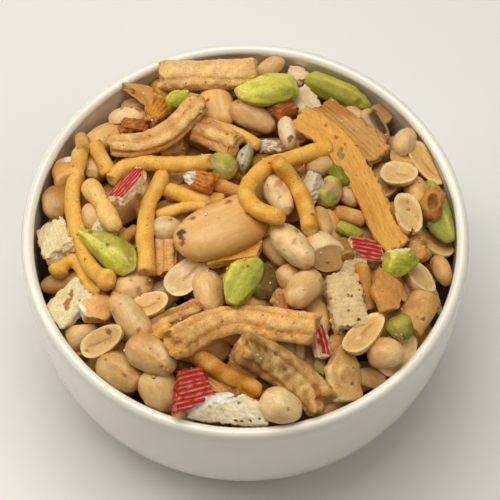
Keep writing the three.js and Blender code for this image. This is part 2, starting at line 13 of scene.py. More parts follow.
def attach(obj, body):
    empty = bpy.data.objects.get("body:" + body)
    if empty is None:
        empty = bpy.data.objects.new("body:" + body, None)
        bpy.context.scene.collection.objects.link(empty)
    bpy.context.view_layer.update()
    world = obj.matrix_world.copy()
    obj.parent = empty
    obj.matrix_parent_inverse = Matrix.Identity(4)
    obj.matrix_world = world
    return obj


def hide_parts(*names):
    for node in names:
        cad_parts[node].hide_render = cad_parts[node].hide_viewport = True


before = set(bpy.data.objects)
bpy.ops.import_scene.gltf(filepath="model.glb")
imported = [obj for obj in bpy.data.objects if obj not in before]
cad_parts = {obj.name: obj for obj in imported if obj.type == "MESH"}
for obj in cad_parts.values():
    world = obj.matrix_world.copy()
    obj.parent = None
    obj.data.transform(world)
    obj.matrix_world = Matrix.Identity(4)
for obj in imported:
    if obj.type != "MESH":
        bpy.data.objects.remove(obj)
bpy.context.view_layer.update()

# ---- the view -----------------------------------------------------------------------------
# The bowl is seen from the front, from well above, as by someone who stands at the table.
# A pixel and a height over the rim plane give one place in the bowl. MM makes metres of
# millimetres.

MM = 0.001
RIM_Z = 60
VIEW_TILT = math.radians(61.8)
VIEW_DISTANCE = 480
VIEW_SCALE = 1790
MOUTH_PX = (245.25, 228)
FRAME_PX = 500
SENSOR = 36

bpy.ops.object.camera_add(
    location=(
        0,
        -VIEW_DISTANCE * math.cos(VIEW_TILT) * MM,
        (RIM_Z + VIEW_DISTANCE * math.sin(VIEW_TILT)) * MM,
    ),
    rotation=(math.pi / 2 - VIEW_TILT, 0, 0),
)
camera = bpy.context.object
camera.name = "table_view"
camera.data.lens = VIEW_SCALE * SENSOR / FRAME_PX
camera.data.shift_x = 0.5 - MOUTH_PX[0] / FRAME_PX
camera.data.shift_y = MOUTH_PX[1] / FRAME_PX - 0.5
bpy.context.scene.camera = camera
bpy.context.scene.view_settings.view_transform = "Standard"


def place_of(pixel, height):
    """The place in the bowl, in millimetres, that a pixel shows at that height over the rim."""
    rise = (MOUTH_PX[1] - pixel[1]) / VIEW_SCALE
    sin = math.sin(VIEW_TILT)
    cos = math.cos(VIEW_TILT)
    y = (rise * (VIEW_DISTANCE - height * sin) - height * cos) / (sin - rise * cos)
    x = (pixel[0] - MOUTH_PX[0]) / VIEW_SCALE * (VIEW_DISTANCE + y * cos - height * sin)
    return np.array([x, y, height])


# ---- the bowl -----------------------------------------------------------------------------
# A round bowl thrown in porcelain and dipped in a warm white glaze. Its side drops almost
# straight from a thick round rim, then rounds in to a low foot ring, whose edge is left bare.

RIM_RADIUS = 60
RIM_WALL = 3.2
WALL_GROWTH = 1.6
INSIDE_SHALLOW = 0.07
RIM_ROUND = 1.6
SIDE_DROP = 4
SIDE_SWELL = 0.45
SIDE_POWER = 3.64
SIDE_DEPTH = 56
FLOOR_Z = 8
FLOOR_DISH = 0.4
FLOOR_ROUND = 10
FOOT_RADIUS = 37
FOOT_WIDTH = 5
FOOT_HEIGHT = 3
FOOT_RECESS = 1.5
BOWL_SIDES = 160
RIM_RINGS = 13
SIDE_DEPTHS = [55.8, *np.linspace(55, 4, 42), 3, 2.2]
INSIDE_DEPTH = 50
INSIDE_DEPTHS = [2.6, *np.linspace(4, INSIDE_DEPTH, 36)]
FLOOR_CURVE = 1.6


def side_radius(depth):
    """Radius of the bowl's outside, at a depth under the rim plane."""
    share = np.maximum(0, depth - SIDE_DROP) / SIDE_DEPTH
    swell = SIDE_SWELL * np.minimum(1, depth / SIDE_DROP)
    return (RIM_RADIUS + swell) * (1 - share**SIDE_POWER) ** (1 / SIDE_POWER)


def inside_radius(depth):
    """Radius of the bowl's inside, at a depth under the rim plane."""
    share = np.minimum(1, depth / (RIM_Z - FLOOR_Z))
    return side_radius(depth * (1 + INSIDE_SHALLOW * share)) - RIM_WALL - WALL_GROWTH * share


def deselect_all():
    bpy.ops.object.select_all(action="DESELECT")


def thrown(name, profile, sides):
    """Turns a profile of (radius, height) rings, pulled up one by one from a flat base."""
    deselect_all()
    bpy.ops.mesh.primitive_circle_add(
        vertices=sides, radius=profile[0][0] * MM, fill_type="NGON"
    )
    made = bpy.context.object
    made.name = name
    bpy.ops.object.mode_set(mode="EDIT")
    bpy.ops.transform.translate(value=(0, 0, profile[0][1] * MM))
    bpy.ops.mesh.delete(type="ONLY_FACE")
    bpy.ops.mesh.select_all(action="SELECT")
    bpy.ops.mesh.edge_face_add()
    for (radius, height), (wide, high) in zip(profile, profile[1:]):
        bpy.ops.mesh.extrude_region_move(
            TRANSFORM_OT_translate={"value": (0, 0, (high - height) * MM)}
        )
        grow = wide / radius
        bpy.ops.transform.resize(value=(grow, grow, 1), center_override=(0, 0, high * MM))
    bpy.ops.mesh.select_all(action="SELECT")
    bpy.ops.mesh.normals_make_consistent(inside=False)
    bpy.ops.object.mode_set(mode="OBJECT")
    bpy.ops.object.shade_smooth()
    return made


bowl_profile = [
    (FOOT_RADIUS - FOOT_WIDTH - 1, FOOT_RECESS),
    (FOOT_RADIUS - FOOT_WIDTH - 0.3, 0.6),
    (FOOT_RADIUS - FOOT_WIDTH + 0.4, 0),
    (FOOT_RADIUS - 0.8, 0),
    (FOOT_RADIUS - 0.1, 0.3),
    (FOOT_RADIUS + 0.1, 1),
    (FOOT_RADIUS + 0.4, FOOT_HEIGHT),
]
bowl_profile += [(side_radius(depth), RIM_Z - depth) for depth in SIDE_DEPTHS]
bowl_profile += [
    (
        RIM_RADIUS - RIM_ROUND + RIM_ROUND * math.cos(turn),
        RIM_Z - RIM_ROUND + RIM_ROUND * math.sin(turn),
    )
    for turn in np.linspace(0, math.pi, RIM_RINGS)
]
bowl_profile += [(inside_radius(depth), RIM_Z - depth) for depth in INSIDE_DEPTHS]
bowl_profile += [
    (
        inside_radius(INSIDE_DEPTH) - FLOOR_ROUND * share,
        FLOOR_Z + FLOOR_DISH + FLOOR_CURVE * (1 - share) ** 2,
    )
    for share in (0.25, 0.5, 0.75, 1)
]
bowl_profile += [(20, FLOOR_Z + 0.2), (0.01, FLOOR_Z)]


class Wire:
    """One output in a finish's node tree. Sums on wires add Math nodes to the tree."""

    def __init__(self, finish, socket):
        self.finish = finish
        self.socket = socket

    def sum(self, operation, first, second):
        return self.finish.node("Math", {"operation": operation}, {0: first, 1: second})

    def __add__(self, other):
        return self.sum("ADD", self, other)

    def __sub__(self, other):
        return self.sum("SUBTRACT", self, other)

    def __mul__(self, other):
        return self.sum("MULTIPLY", self, other)


class Finish:
    """A material, built up from the nodes that are wired into its shader."""

    def __init__(self, name):
        self.material = bpy.data.materials.new(name)
        self.material.use_nodes = True
        self.tree = self.material.node_tree
        self.shader = self.tree.nodes["Principled BSDF"]

    def wire_up(self, node, sockets):
        for key, value in sockets.items():
            if isinstance(value, Wire):
                self.tree.links.new(value.socket, node.inputs[key])
            else:
                node.inputs[key].default_value = value

    def node(self, kind, settings, sockets, out=0):
        """Adds one node: its settings first, then the values or wires of its sockets."""
        node = self.tree.nodes.new("ShaderNode" + kind)
        for key, value in settings.items():
            if key == "stops":
                ends = node.color_ramp.elements
                for end, (place, shade) in zip(ends, (value[0], value[-1])):
                    end.position = place
                    end.color = shade
                for place, shade in value[1:-1]:
                    ends.new(place).color = shade
            else:
                setattr(node, key, value)
        self.wire_up(node, sockets)
        return Wire(self, node.outputs[out])

    def object_place(self):
        return self.node("TexCoord", {}, {}, out=3)

    def attribute(self, name, out=0):
        return self.node("Attribute", {"attribute_name": name}, {}, out)

    def noise(self, where, scale, detail=3, roughness=0.5):
        sockets = {"Vector": where, "Scale": scale, "Detail": detail, "Roughness": roughness}
        return self.node("TexNoise", {}, sockets)

    def ease(self, value, low, high, bottom=0, top=1):
        """A smooth step of the value, from bottom at low to top at high."""
        sockets = {0: value, 1: low, 2: high, 3: bottom, 4: top}
        return self.node("MapRange", {"interpolation_type": "SMOOTHSTEP"}, sockets)

    def mix(self, first, second, share, blend="MIX"):
        settings = {"data_type": "RGBA", "blend_type": blend}
        return self.node("Mix", settings, {0: share, 6: first, 7: second}, out=2)

    def bump(self, height, depth, under=None):
        """Relief that is depth millimetres deep, over any finer relief that is given."""
        sockets = {"Height": height, "Distance": depth * MM, "Strength": 1}
        if under:
            sockets["Normal"] = under
        return self.node("Bump", {}, sockets)

    def surface(self, **sockets):
        self.wire_up(self.shader, {key.replace("_", " "): value for key, value in sockets.items()})
        return self.material


def colour(code):
    """A colour of six hexadecimal digits, as linear red, green and blue."""
    parts = np.array([int(code[i : i + 2], 16) / 255 for i in (0, 2, 4)])
    return np.where(parts <= 0.04045, parts / 12.92, ((parts + 0.055) / 1.055) ** 2.4)


def solid(code):
    return (*colour(code), 1)


GLAZE_WHITE = "F0ECE0"
GLAZE_THICK = "EAE5D6"
BARE_CLAY = "D9CFBB"
GLAZE_ENDS = 0.0012
BARE_BELOW = 0.0006
POOL_SCALE = 22
RIPPLE_SCALE = 60
GRIT_SCALE = 900


def glazed_porcelain():
    finish = Finish("glazed_porcelain")
    place = finish.object_place()
    height = finish.node("SeparateXYZ", {}, {"Vector": place}, out=2)
    pooled = finish.noise(place, POOL_SCALE, detail=2)
    glaze = finish.mix(solid(GLAZE_WHITE), solid(GLAZE_THICK), finish.ease(pooled, 0.35, 0.7))
    bare = finish.ease(height, GLAZE_ENDS, BARE_BELOW)
    ripple = finish.noise(place, RIPPLE_SCALE, detail=2)
    grit = finish.noise(place, GRIT_SCALE, detail=2)
    return finish.surface(
        Base_Color=finish.mix(glaze, solid(BARE_CLAY), bare),
        Roughness=finish.ease(pooled, 0.3, 0.7, 0.16, 0.22) + bare * 0.5,
        Normal=finish.bump(ripple, 0.12, finish.bump(grit, 0.012)),
        Coat_Weight=0.3,
        Coat_Roughness=0.08,
    )


bowl = thrown("porcelain_bowl", bowl_profile, BOWL_SIDES)
bowl.data.materials.append(glazed_porcelain())
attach(bowl, "root")
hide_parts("bowl")

# ---- the bed of broken bits ---------------------------------------------------------------
# Under the pieces that show lies a bed of crumbs and dust, painted dark brown as the shade in the
# deep gaps between them. It fills the bowl to well below them, and its top is a low dome that falls
# to the wall all round, most at the back on the left.

MIX_GAP = 0.4
MIX_CENTRE = 0.5
MIX_EDGE = -7.5
MIX_HOLLOW = 4.0
MIX_FALL = 2.6
HOLLOW_TURN = math.radians(140)
BED_DROP = 9
BED_RINGS = 60
BED_SIDES = 120
BED_DEPTH = 20
BED_LUMPS = [(0.9, 5, 1), (0.5, 2, 2)]
WAVES = 14


def heap_top(x, y):
    """Height over the rim plane of the level that the pieces which show are laid on."""
    reach = np.minimum(1, np.hypot(x, y) / (RIM_RADIUS - RIM_WALL))
    side = np.maximum(0, np.cos(np.arctan2(y, x) - HOLLOW_TURN))
    fall = reach**MIX_FALL
    return MIX_CENTRE + (MIX_EDGE - MIX_CENTRE) * fall - MIX_HOLLOW * (side * reach) ** 4


def lumps(points, size, seed):
    """Smooth uneven values of about -1 to 1 at points, in bumps of about that size."""
    draw = np.random.default_rng(seed)
    ways = draw.normal(size=(3, WAVES))
    ways *= draw.uniform(0.7, 1.5, WAVES) * math.pi / size / np.linalg.norm(ways, axis=0)
    return np.sin(points @ ways + draw.uniform(0, 2 * math.pi, WAVES)).sum(1) / math.sqrt(WAVES)


# Painted shade: the bed's dark browns stand for the shadow deep in the gaps between pieces.
BED_SHADE_DARK = "3A2413"
BED_SHADE_LIGHT = "6B4522"
BED_GRAIN = 700


def shaded_crumb_bed():
    finish = Finish("crumbs_in_painted_shade")
    place = finish.object_place()
    grain = finish.noise(place, BED_GRAIN, detail=4, roughness=0.65)
    return finish.surface(
        Base_Color=finish.mix(solid(BED_SHADE_DARK), solid(BED_SHADE_LIGHT), finish.ease(grain, 0.4, 0.7)),
        Roughness=finish.ease(grain, 0.3, 0.7, 0.85, 0.7),
        Normal=finish.bump(grain, 0.4),
    )


bed_profile = [(inside_radius(INSIDE_DEPTH) - FLOOR_ROUND, FLOOR_Z + FLOOR_DISH + MIX_GAP)]
bed_profile += [
    (inside_radius(depth) - MIX_GAP, RIM_Z - depth)
    for depth in np.linspace(INSIDE_DEPTH - 1, BED_DEPTH, 14)
]
bed_profile += [
    (inside_radius(BED_DEPTH) * share, RIM_Z - BED_DEPTH)
    for share in np.linspace(0.99, 0.001, BED_RINGS)
]
bed = thrown("shaded_crumb_bed", bed_profile, BED_SIDES)
bed_points = np.empty(len(bed.data.vertices) * 3)
bed.data.vertices.foreach_get("co", bed_points)
bed_points = bed_points.reshape(-1, 3) / MM
bed_top = bed_points[:, 2] > RIM_Z - BED_DEPTH - 0.01
bed_flat = bed_points[bed_top] * (1, 1, 0)
bed_lift = heap_top(bed_flat[:, 0], bed_flat[:, 1]) - BED_DROP
for rise, size, seed in BED_LUMPS:
    bed_lift += rise * lumps(bed_flat, size, seed)
bed_points[bed_top, 2] = RIM_Z + bed_lift
bed.data.vertices.foreach_set("co", (bed_points * MM).ravel())
bed.data.update()
bed.data.materials.append(shaded_crumb_bed())
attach(bed, "root")
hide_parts("bar_mix")

# ---- tipping the pieces in ----------------------------------------------------------------
# Each piece is laid on what is in the bowl already, level by level, so that it rests there and
# leans as it would if it had been dropped. roll and tip lean it more, about and along its length,
# and lift raises it.

CELL = 1
SETTLE = 0.92
BITE = 0.7
ALONG = 9
ACROSS = np.array([-0.8, -0.4, 0, 0.4, 0.8])
LAY_ROUNDS = 4
STEEPEST = 0.7
STRIDE = 0.6
TOP_LEVEL = 5
LINE_STEPS = 201
SHARE_STEP = 1e-4
STEADY = 1e-6
WALL_GAP = 0.3
MOST_SHIFT = 3.0
WORST_PERCENT = 97

GRID = math.ceil(RIM_RADIUS / CELL)
grid_line = np.arange(-GRID, GRID + 1) * CELL
ground = heap_top(grid_line[None, :], grid_line[:, None])


def bent(path, wide, level, thick=None, **more):
    """A piece that follows a path of bends, at a level of the heap."""
    return {"path": path, "wide": wide, "level": level, "thick": thick or wide, **more}


def lain(at, turn, long, wide, level, thick=None, **more):
    """A straight piece by its middle, its turn, clockwise from the right, and its length."""
    return {"at": at, "turn": turn, "long": long, **bent(None, wide, level, thick), **more}


def cell_of(x, y):
    """Row and column of the grid of heights at a place."""
    column = np.clip(np.floor(x / CELL + 0.5).astype(int) + GRID, 0, 2 * GRID)
    row = np.clip(np.floor(y / CELL + 0.5).astype(int) + GRID, 0, 2 * GRID)
    return row, column


def smooth_line(bends, shares):
    """Points of the smooth line through the bends, at shares of 0 to 1 along it."""
    bends = np.asarray(bends, float)
    last = len(bends) - 1
    knots = np.vstack([2 * bends[0] - bends[1], bends, 2 * bends[-1] - bends[-2]])
    span = np.clip(shares, 0, 1) * last
    first = np.minimum(span.astype(int), last - 1)
    t = (span - first)[:, None]
    a, b, c, d = (knots[first + k] for k in range(4))
    before, between, after = (
        np.linalg.norm(q - p, axis=1, keepdims=True) ** 0.5 for p, q in ((a, b), (b, c), (c, d))
    )
    leave = ((b - a) / before - (c - a) / (before + between) + (c - b) / between) * between
    reach = ((c - b) / between - (d - b) / (between + after) + (d - c) / after) * between
    return (
        b
        + leave * t
        + (-3 * b + 3 * c - 2 * leave - reach) * t**2
        + (2 * b - 2 * c + leave + reach) * t**3
    )


def middle_line(piece, height_at):
    """The bends of a piece's middle line, at the heights that height_at gives along it."""
    if piece["path"]:
        last = len(piece["path"]) - 1
        return [place_of(pixel, height_at(i / last)) for i, pixel in enumerate(piece["path"])]
    turn = math.radians(piece["turn"])
    way = np.array([math.cos(turn), -math.sin(turn) / math.sin(VIEW_TILT), 0])
    way /= np.linalg.norm(way)
    middle = place_of(piece["at"], height_at(0.5))
    bends = [middle + way * share * piece["long"] for share in (-0.5, 0, 0.5)]
    return [np.array([x, y, height_at(i / 2)]) for i, (x, y, _) in enumerate(bends)]


class Bed:
    """Where a piece lies: the line its middle follows, and how far it leans to the side."""

    def __init__(self, bends, lean):
        self.bends = bends
        self.lean = lean
        self.shares = np.linspace(0, 1, LINE_STEPS)
        steps = np.diff(smooth_line(bends, self.shares), axis=0)
        self.runs = np.concatenate([[0], np.cumsum(np.linalg.norm(steps, axis=1))])
        self.length = self.runs[-1]

    def frames(self, shares):
        """Point, way, side and up at shares of the line."""
        ahead = smooth_line(self.bends, np.minimum(shares + SHARE_STEP, 1))
        way = ahead - smooth_line(self.bends, np.maximum(shares - SHARE_STEP, 0))
        way /= np.linalg.norm(way, axis=1, keepdims=True)
        left = np.stack([-way[:, 1], way[:, 0], 0 * way[:, 0]], 1)
        left /= np.linalg.norm(left, axis=1, keepdims=True)
        angle = math.atan(self.lean)
        side = left * math.cos(angle) + np.cross(way, left) * math.sin(angle)
        return smooth_line(self.bends, shares), way, side, np.cross(way, side)

    def carry(self, points):
        """Takes points of a form, laid along x from 0, to the piece's own place."""
        shares = np.interp(points[:, 0], self.runs, self.shares)
        beyond = points[:, 0] - np.interp(shares, self.shares, self.runs)
        middle, way, side, up = self.frames(shares)
        return middle + way * beyond[:, None] + side * points[:, 1:2] + up * points[:, 2:3]


def belly_at(piece, s, share):
    """How far a piece hangs below its middle line, at one place in its outline."""
    half = piece["thick"] / 2
    if piece["flat"]:
        return half * np.ones_like(s)
    end = 0 if piece["path"] else (2 * s - 1) ** 2
    return half * np.sqrt(np.maximum(0, 1 - share**2 - end))


def lay(piece):
    """Finds the bed that fits the ground under a piece best, and lifts it to clear the ground."""
    bends = len(piece["path"] or ()) > 3
    s, share = (grid.ravel() for grid in np.meshgrid(np.linspace(0, 1, ALONG), ACROSS))
    across = share * piece["wide"] / 2
    rows = np.stack([np.ones_like(s), s, across, s**2 * bends], 1)
    belly = belly_at(piece, s, share)
    tip = piece.get("tip", 0) * piece.get("long", 0)
    level, slope, bow, lean = 0, 0, 0, 0

    def height_at(t):
        return level + slope * t + bow * t * t + tip * (t - 0.5)

    for _ in range(LAY_ROUNDS):
        line = Bed(middle_line(piece, height_at), 0)
        point, _, side, _ = line.frames(s)
        spots = point + side * across[:, None]
        under = ground[cell_of(spots[:, 0], spots[:, 1])]
        square = rows.T @ rows + STEADY * np.eye(4)
        base, slope, lean, bow = np.linalg.solve(square, rows.T @ under)
        over = np.sort(under + belly - rows @ (base, slope, lean, bow))
        level = base + over[int(len(over) * SETTLE)] - BITE + piece.get("lift", 0)
    lean = min(STEEPEST, max(-STEEPEST, lean)) + piece.get("roll", 0)
    return Bed(middle_line(piece, height_at), lean)


def raise_ground(piece, bed):
    """Once a piece is laid, the ground under it rises to its back."""
    s, share = (
        grid.ravel()
        for grid in np.meshgrid(
            np.linspace(0, 1, math.ceil(bed.length / STRIDE) + 1),
            np.arange(-1, 1, STRIDE / piece["wide"]),
        )
    )
    end = 1 if piece["path"] else np.sqrt(np.maximum(0, 1 - (2 * s - 1) ** 2))
    back = 1 if piece["flat"] else np.sqrt(1 - share**2) * end
    point, _, side, up = bed.frames(s)
    skin = point + side * (share * piece["wide"] / 2 * end)[:, None]
    skin += up * (piece["thick"] / 2 * back * np.ones_like(s))[:, None]
    np.maximum.at(ground, cell_of(skin[:, 0], skin[:, 1]), skin[:, 2])


def keep_inside(points):
    """Moves a piece clear of the bowl's wall, and flattens what still touches it."""
    depth = np.maximum(0, -points[:, 2])
    room = inside_radius(depth) - WALL_GAP + np.maximum(0, points[:, 2])
    reach = np.hypot(points[:, 0], points[:, 1])
    worst = min(MOST_SHIFT, max(0, np.percentile(reach - room, WORST_PERCENT)))
    if worst > 0:
        middle = points[:, :2].mean(0)
        points[:, :2] -= middle / np.linalg.norm(middle) * worst
        reach = np.hypot(points[:, 0], points[:, 1])
    points[:, :2] *= np.minimum(1, room / reach)[:, None]
    return points


# A form is a closed skin: rings of points round the x axis, and a pole at each end. Each point
# has its place along x, its ring's share of the full width, and its direction round the ring.

LENGTHWISE = (1, 0, 0)
SECTION_STEPS = 721
CAP_RINGS = [0.3, 0.62]
SPOT_REACH = 1.15
SPOT_EDGE = 0.35
SPOT_RAGGED = 0.3


def skin_faces(rings, sides):
    """The triangles of a closed skin, facing out."""
    j = np.arange(sides)
    k = (j + 1) % sides
    ring = 1 + np.arange(rings - 1)[:, None] * sides
    a, b, c, d = ring + j, ring + k, ring + sides + j, ring + sides + k
    last = 1 + (rings - 1) * sides
    pole = last + sides
    sheets = [
        np.stack([a, b, d], -1).reshape(-1, 3),
        np.stack([a, d, c], -1).reshape(-1, 3),
        np.stack([0 * j, 1 + k, 1 + j], -1),
        np.stack([0 * j + pole, last + j, last + k], -1),
    ]
    return np.concatenate(sheets)


class Form:
    """One piece before it is laid: its points in millimetres, their colours and how crumbly."""

    def __init__(self, along, ring, y, z):
        """Rings at places along x with shares of full size, of a section in unit y and z."""
        sides = len(y)
        self.faces = skin_faces(len(along), sides)
        self.x = np.concatenate([[along[0]], np.repeat(along, sides), [along[-1]]])
        self.ring = np.concatenate([[0], np.repeat(ring, sides), [0]])
        self.y = np.concatenate([[0], np.outer(ring, y).ravel(), [0]])
        self.z = np.concatenate([[0], np.outer(ring, z).ravel(), [0]])
        self.paint = np.ones((len(self.x), 3))
        self.crumb = np.zeros(len(self.x))

    def points(self):
        return np.stack([self.x, self.y, self.z], 1)

    def lumps(self, size, seed, stretch=(1, 1, 1)):
        """Uneven values over the form, in bumps of that size."""
        return lumps(self.points() * stretch, size, seed)

    def tone(self, shade, share=1.0):
        """Paints a colour over the form, by a share at each point."""
        share = np.clip(np.broadcast_to(share, self.x.shape), 0, 1)[:, None]
        self.paint = self.paint * (1 - share) + colour(shade) * share

    def dot(self, x, y, size, shade, seed, strength, top=True):
        """Paints a ragged spot, on the upper side unless told otherwise."""
        apart = np.hypot(self.x - x, self.y - y) / size
        ragged = apart + SPOT_RAGGED * self.lumps(size * 0.9, seed)
        side = self.z > 0 if top else self.z < 0
        self.tone(shade, strength * step(SPOT_REACH - ragged, 0, SPOT_EDGE) * side)

    def spots(self, piece, seed, strength, top=True):
        """Paints the spots of a piece, each by its place along and across, size and shade."""
        for spot in piece.get("spots", ()):
            self.dot(*spot, seed, strength, top)


def step(value, low, high):
    """A smooth step from 0 at low to 1 at high."""
    share = np.clip((value - low) / (high - low), 0, 1)
    return share * share * (3 - 2 * share)


def bell(offset, width):
    """A smooth hump, 1 where the offset is 0, and gone at about twice its width."""
    return np.exp(-((offset / width) ** 2))


def even_section(power, half, rise, sides):
    """Unit y and z round a section, round at power 2 and squarer above it, evenly spaced."""
    turn = np.linspace(0, 2 * math.pi, SECTION_STEPS)
    reach = (abs(np.cos(turn)) ** power + abs(np.sin(turn)) ** power) ** (-1 / power)
    y, z = reach * np.cos(turn), reach * np.sin(turn)
    run = np.concatenate([[0], np.cumsum(np.hypot(np.diff(y) * half, np.diff(z) * rise))])
    even = np.linspace(0, run[-1], sides, endpoint=False)
    return np.interp(even, run, y), np.interp(even, run, z)


def egg_form(piece, run, fine, rings, sides, power):
    """An ellipsoid, or a fuller one at a higher power, as long, wide and thick as the piece."""
    rings = round(rings * fine)
    turns = math.pi * (np.arange(rings) + 0.5) / rings
    unit = -np.cos(turns)
    ring = (1 - abs(unit) ** power) ** (1 / power)
    half, rise = piece["wide"] / 2, piece["thick"] / 2
    y, z = even_section(2, half, rise, round(sides * fine))
    form = Form((unit + 1) * run / 2, ring, y, z)
    form.x[0], form.x[-1] = 0, run
    form.run, form.unit = run, form.x / run * 2 - 1
    return form, half, rise


def bar_form(piece, run, fine, spacing, sides, power=2.0, nose=0.5):
    """A bar with blunt ends, rounded by a nose, with a round or squarish section."""
    half, rise = piece["wide"] / 2, piece["thick"] / 2
    turns = np.linspace(0, math.pi / 2, 4)
    bend = nose / min(half, rise)
    cap_ring = np.concatenate([CAP_RINGS, 1 - bend + bend * np.sin(turns)])
    cap_along = np.concatenate([[0, 0], nose * (1 - np.cos(turns))])
    body = np.linspace(nose, run - nose, max(3, round((run - 2 * nose) / (spacing / fine))))[1:-1]
    along = np.concatenate([cap_along, body, run - cap_along[::-1]])
    ring = np.concatenate([cap_ring, np.ones_like(body), cap_ring[::-1]])
    y, z = even_section(power, half, rise, round(sides * fine))
    form = Form(along, ring, y, z)
    form.run, form.unit = run, form.x / run * 2 - 1
    form.end = np.minimum(form.x, run - form.x)
    return form, half, rise


def knock_off(form, way, keep, soft=0.0):
    """Breaks a form flat where it reaches beyond keep along a way, and says where it did."""
    beyond = form.unit * way[0] + form.y * way[1] + form.z * way[2] - keep
    broken = beyond > 0
    off = np.where(broken, beyond * (1 - soft), 0)
    form.unit -= off * way[0]
    form.y -= off * way[1]
    form.z -= off * way[2]
    return broken


def break_along(form, planes, soft=0.0):
    """Breaks a form along planes, each a way along, over and up, and how far out it stays."""
    for along, over, up, keep in planes:
        knock_off(form, np.array([along, over, up]) / math.hypot(along, over, up), keep, soft)
    form.x = (form.unit + 1) * form.run / 2


def facets(count, low, high, seed):
    """Planes that a bit is flat or broken along."""
    draw = np.random.default_rng(seed)
    ways = draw.normal(size=(count, 3))
    return [(*way, keep) for way, keep in zip(ways, draw.uniform(low, high, count))]


kinds = []


def tip_in(name, pieces, form, relief, material, flat=False):
    """Adds a kind of piece to what is tipped into the bowl.

    relief is a list of (height, size) in millimetres of the bumps on its skin."""
    pieces = [{**piece, "flat": flat} for piece in pieces]
    kinds.append(
        {"name": name, "pieces": pieces, "form": form, "material": material, "relief": relief,
         "parts": []}
    )


FLOUR = "F3E2BE"
FLOUR_SCALE = 3.2
CLOUD_SCALE = 0.4
SPECK_CELLS = 0.62
SPECK_STRENGTH = 0.85


def toasted(name, speck, speck_share, grain=2.2, depth=0.12, stretch=(1, 1, 1), gloss=0.5,
            mottle=0.5, speck_size=0.2, pits=0.0, sheen=0.0, dust=0.0):
    """A dry baked or fried skin over the painted colour: cloudy patches, fine grain, specks."""
    finish = Finish(name)
    paint = finish.attribute("paint")
    crumb = finish.attribute("paint", out=3)
    place = finish.attribute("grain", out=1)
    drawn = finish.node("VectorMath", {"operation": "MULTIPLY"}, {0: place, 1: stretch})
    clouds = finish.noise(drawn, CLOUD_SCALE, detail=3, roughness=0.55)
    fibre = finish.noise(drawn, grain, detail=3, roughness=0.6)
    shade = (clouds - 0.5) * (mottle * 1.5) + (fibre - 0.5) * (mottle * 1.8) + 1
    toned = finish.node("VectorMath", {"operation": "SCALE"}, {0: paint, "Scale": shade})
    cells = {"Vector": place, "Scale": SPECK_CELLS}
    near = finish.node("TexVoronoi", {}, cells)
    pick = finish.node("TexVoronoi", {}, cells, out=1)
    chosen = finish.ease(pick, 1 - speck_share, 1 - speck_share + 0.02)
    ragged = near + (fibre - 0.5) * 0.4
    specks = finish.ease(ragged, speck_size, speck_size * 0.5) * chosen
    floury = finish.ease(finish.noise(place, FLOUR_SCALE, detail=2), 0.62, 0.75) * dust
    dusted = finish.mix(toned, solid(FLOUR), floury)
    coloured = finish.mix(dusted, solid(speck), specks * SPECK_STRENGTH)
    relief = fibre + finish.noise(drawn, grain * 2.6, detail=3) * 0.4 - specks * pits
    rough = finish.ease(fibre, 0.3, 0.7, gloss + 0.08, gloss - 0.06)
    return finish.surface(
        Base_Color=coloured,
        Roughness=rough + crumb * 0.3,
        Normal=finish.bump(relief, depth),
        Specular_IOR_Level=0.3,
        Subsurface_Weight=0.06,
        Subsurface_Radius=(1, 0.5, 0.2),
        Subsurface_Scale=0.002,
        Coat_Weight=sheen,
        Coat_Roughness=0.3,
    )


# ---- fried noodles ------------------------------------------------------------------------
# Thick crisp noodles of yellow gram dough, pressed out, cut blunt and deep fried. They bend and
# swell a little as they fry, and their cut ends stay pale and open.

NOODLE = "E8B048"
NOODLE_DEEP = "C47E10"
NOODLE_PALE = "F0C46C"
NOODLE_BROWN = "C98A38"
NOODLE_CUT = "E6C07A"
NOODLE_RIM = "B5721F"

NOODLES = [
    bent([(80, 147), (76, 175), (72, 200), (75, 222), (84, 250), (95, 273), (112, 282)], 4.5, 3,
         round=(1, 1), end_knob=0.3),
    bent([(82, 135), (83, 151)], 4.0, 2, lift=1.2, tint="D29A4A", round=(1, 0)),
    bent([(55, 277), (60, 265), (72, 260), (83, 269), (90, 284), (104, 294)], 4.5, 2, knob=0.3,
         round=(1, 0)),
    bent([(94, 142), (102, 158), (110, 173)], 4.4, 2),
    bent([(112, 181), (122, 170), (137, 164), (175, 164), (212, 162)], 4.4, 4),
    bent([(89, 183), (99, 198), (109, 218), (117, 231)], 5.2, 3, tint=NOODLE_PALE, lumpy=0.14,
         round=(1, 1), end_knob=0.12),
    bent([(119, 243), (137, 229)], 3.4, 2, tint=NOODLE_BROWN),
    bent([(167, 172), (158.5, 182), (149, 203), (145.5, 232), (147, 273)], 4.5, 3, round=(1, 0)),
    bent([(330, 148), (297, 157), (268, 165), (250, 181), (248, 197), (260, 211), (284, 218)], 4.6,
         4, tint="E8AA40", round=(0, 0.6)),
    bent([(274, 158), (287, 172), (296, 185), (306, 205), (310, 231)], 4.5, 5, tint="D9982C",
         round=(1, 0)),
    bent([(150, 75), (158, 84), (169, 96)], 4.2, 3, lift=1.2, round=(1, 0)),
    bent([(199, 122), (235, 132), (259, 146)], 3.0, 2),
    bent([(194, 173), (220, 185), (246, 195)], 3.8, 2, lift=0.3, tint="D09444"),
    bent([(163, 188), (190, 197), (226, 199)], 4.2, 1, lift=0.4),
    bent([(157, 216), (180, 209), (207, 205)], 3.2, 1),
    bent([(332, 211), (348, 214), (366, 221)], 4.3, 1, tint=NOODLE_BROWN, round=(1, 0)),
    bent([(361, 261), (365, 285), (369, 310)], 3.8, 3, tint=NOODLE_BROWN, round=(1, 0)),
    bent([(153, 338), (171, 325)], 3.0, 3, round=(0, 1)),
    bent([(176, 347), (215, 367), (262, 393)], 4.5, 3, tint=NOODLE_DEEP, round=(0, 0.7)),
]


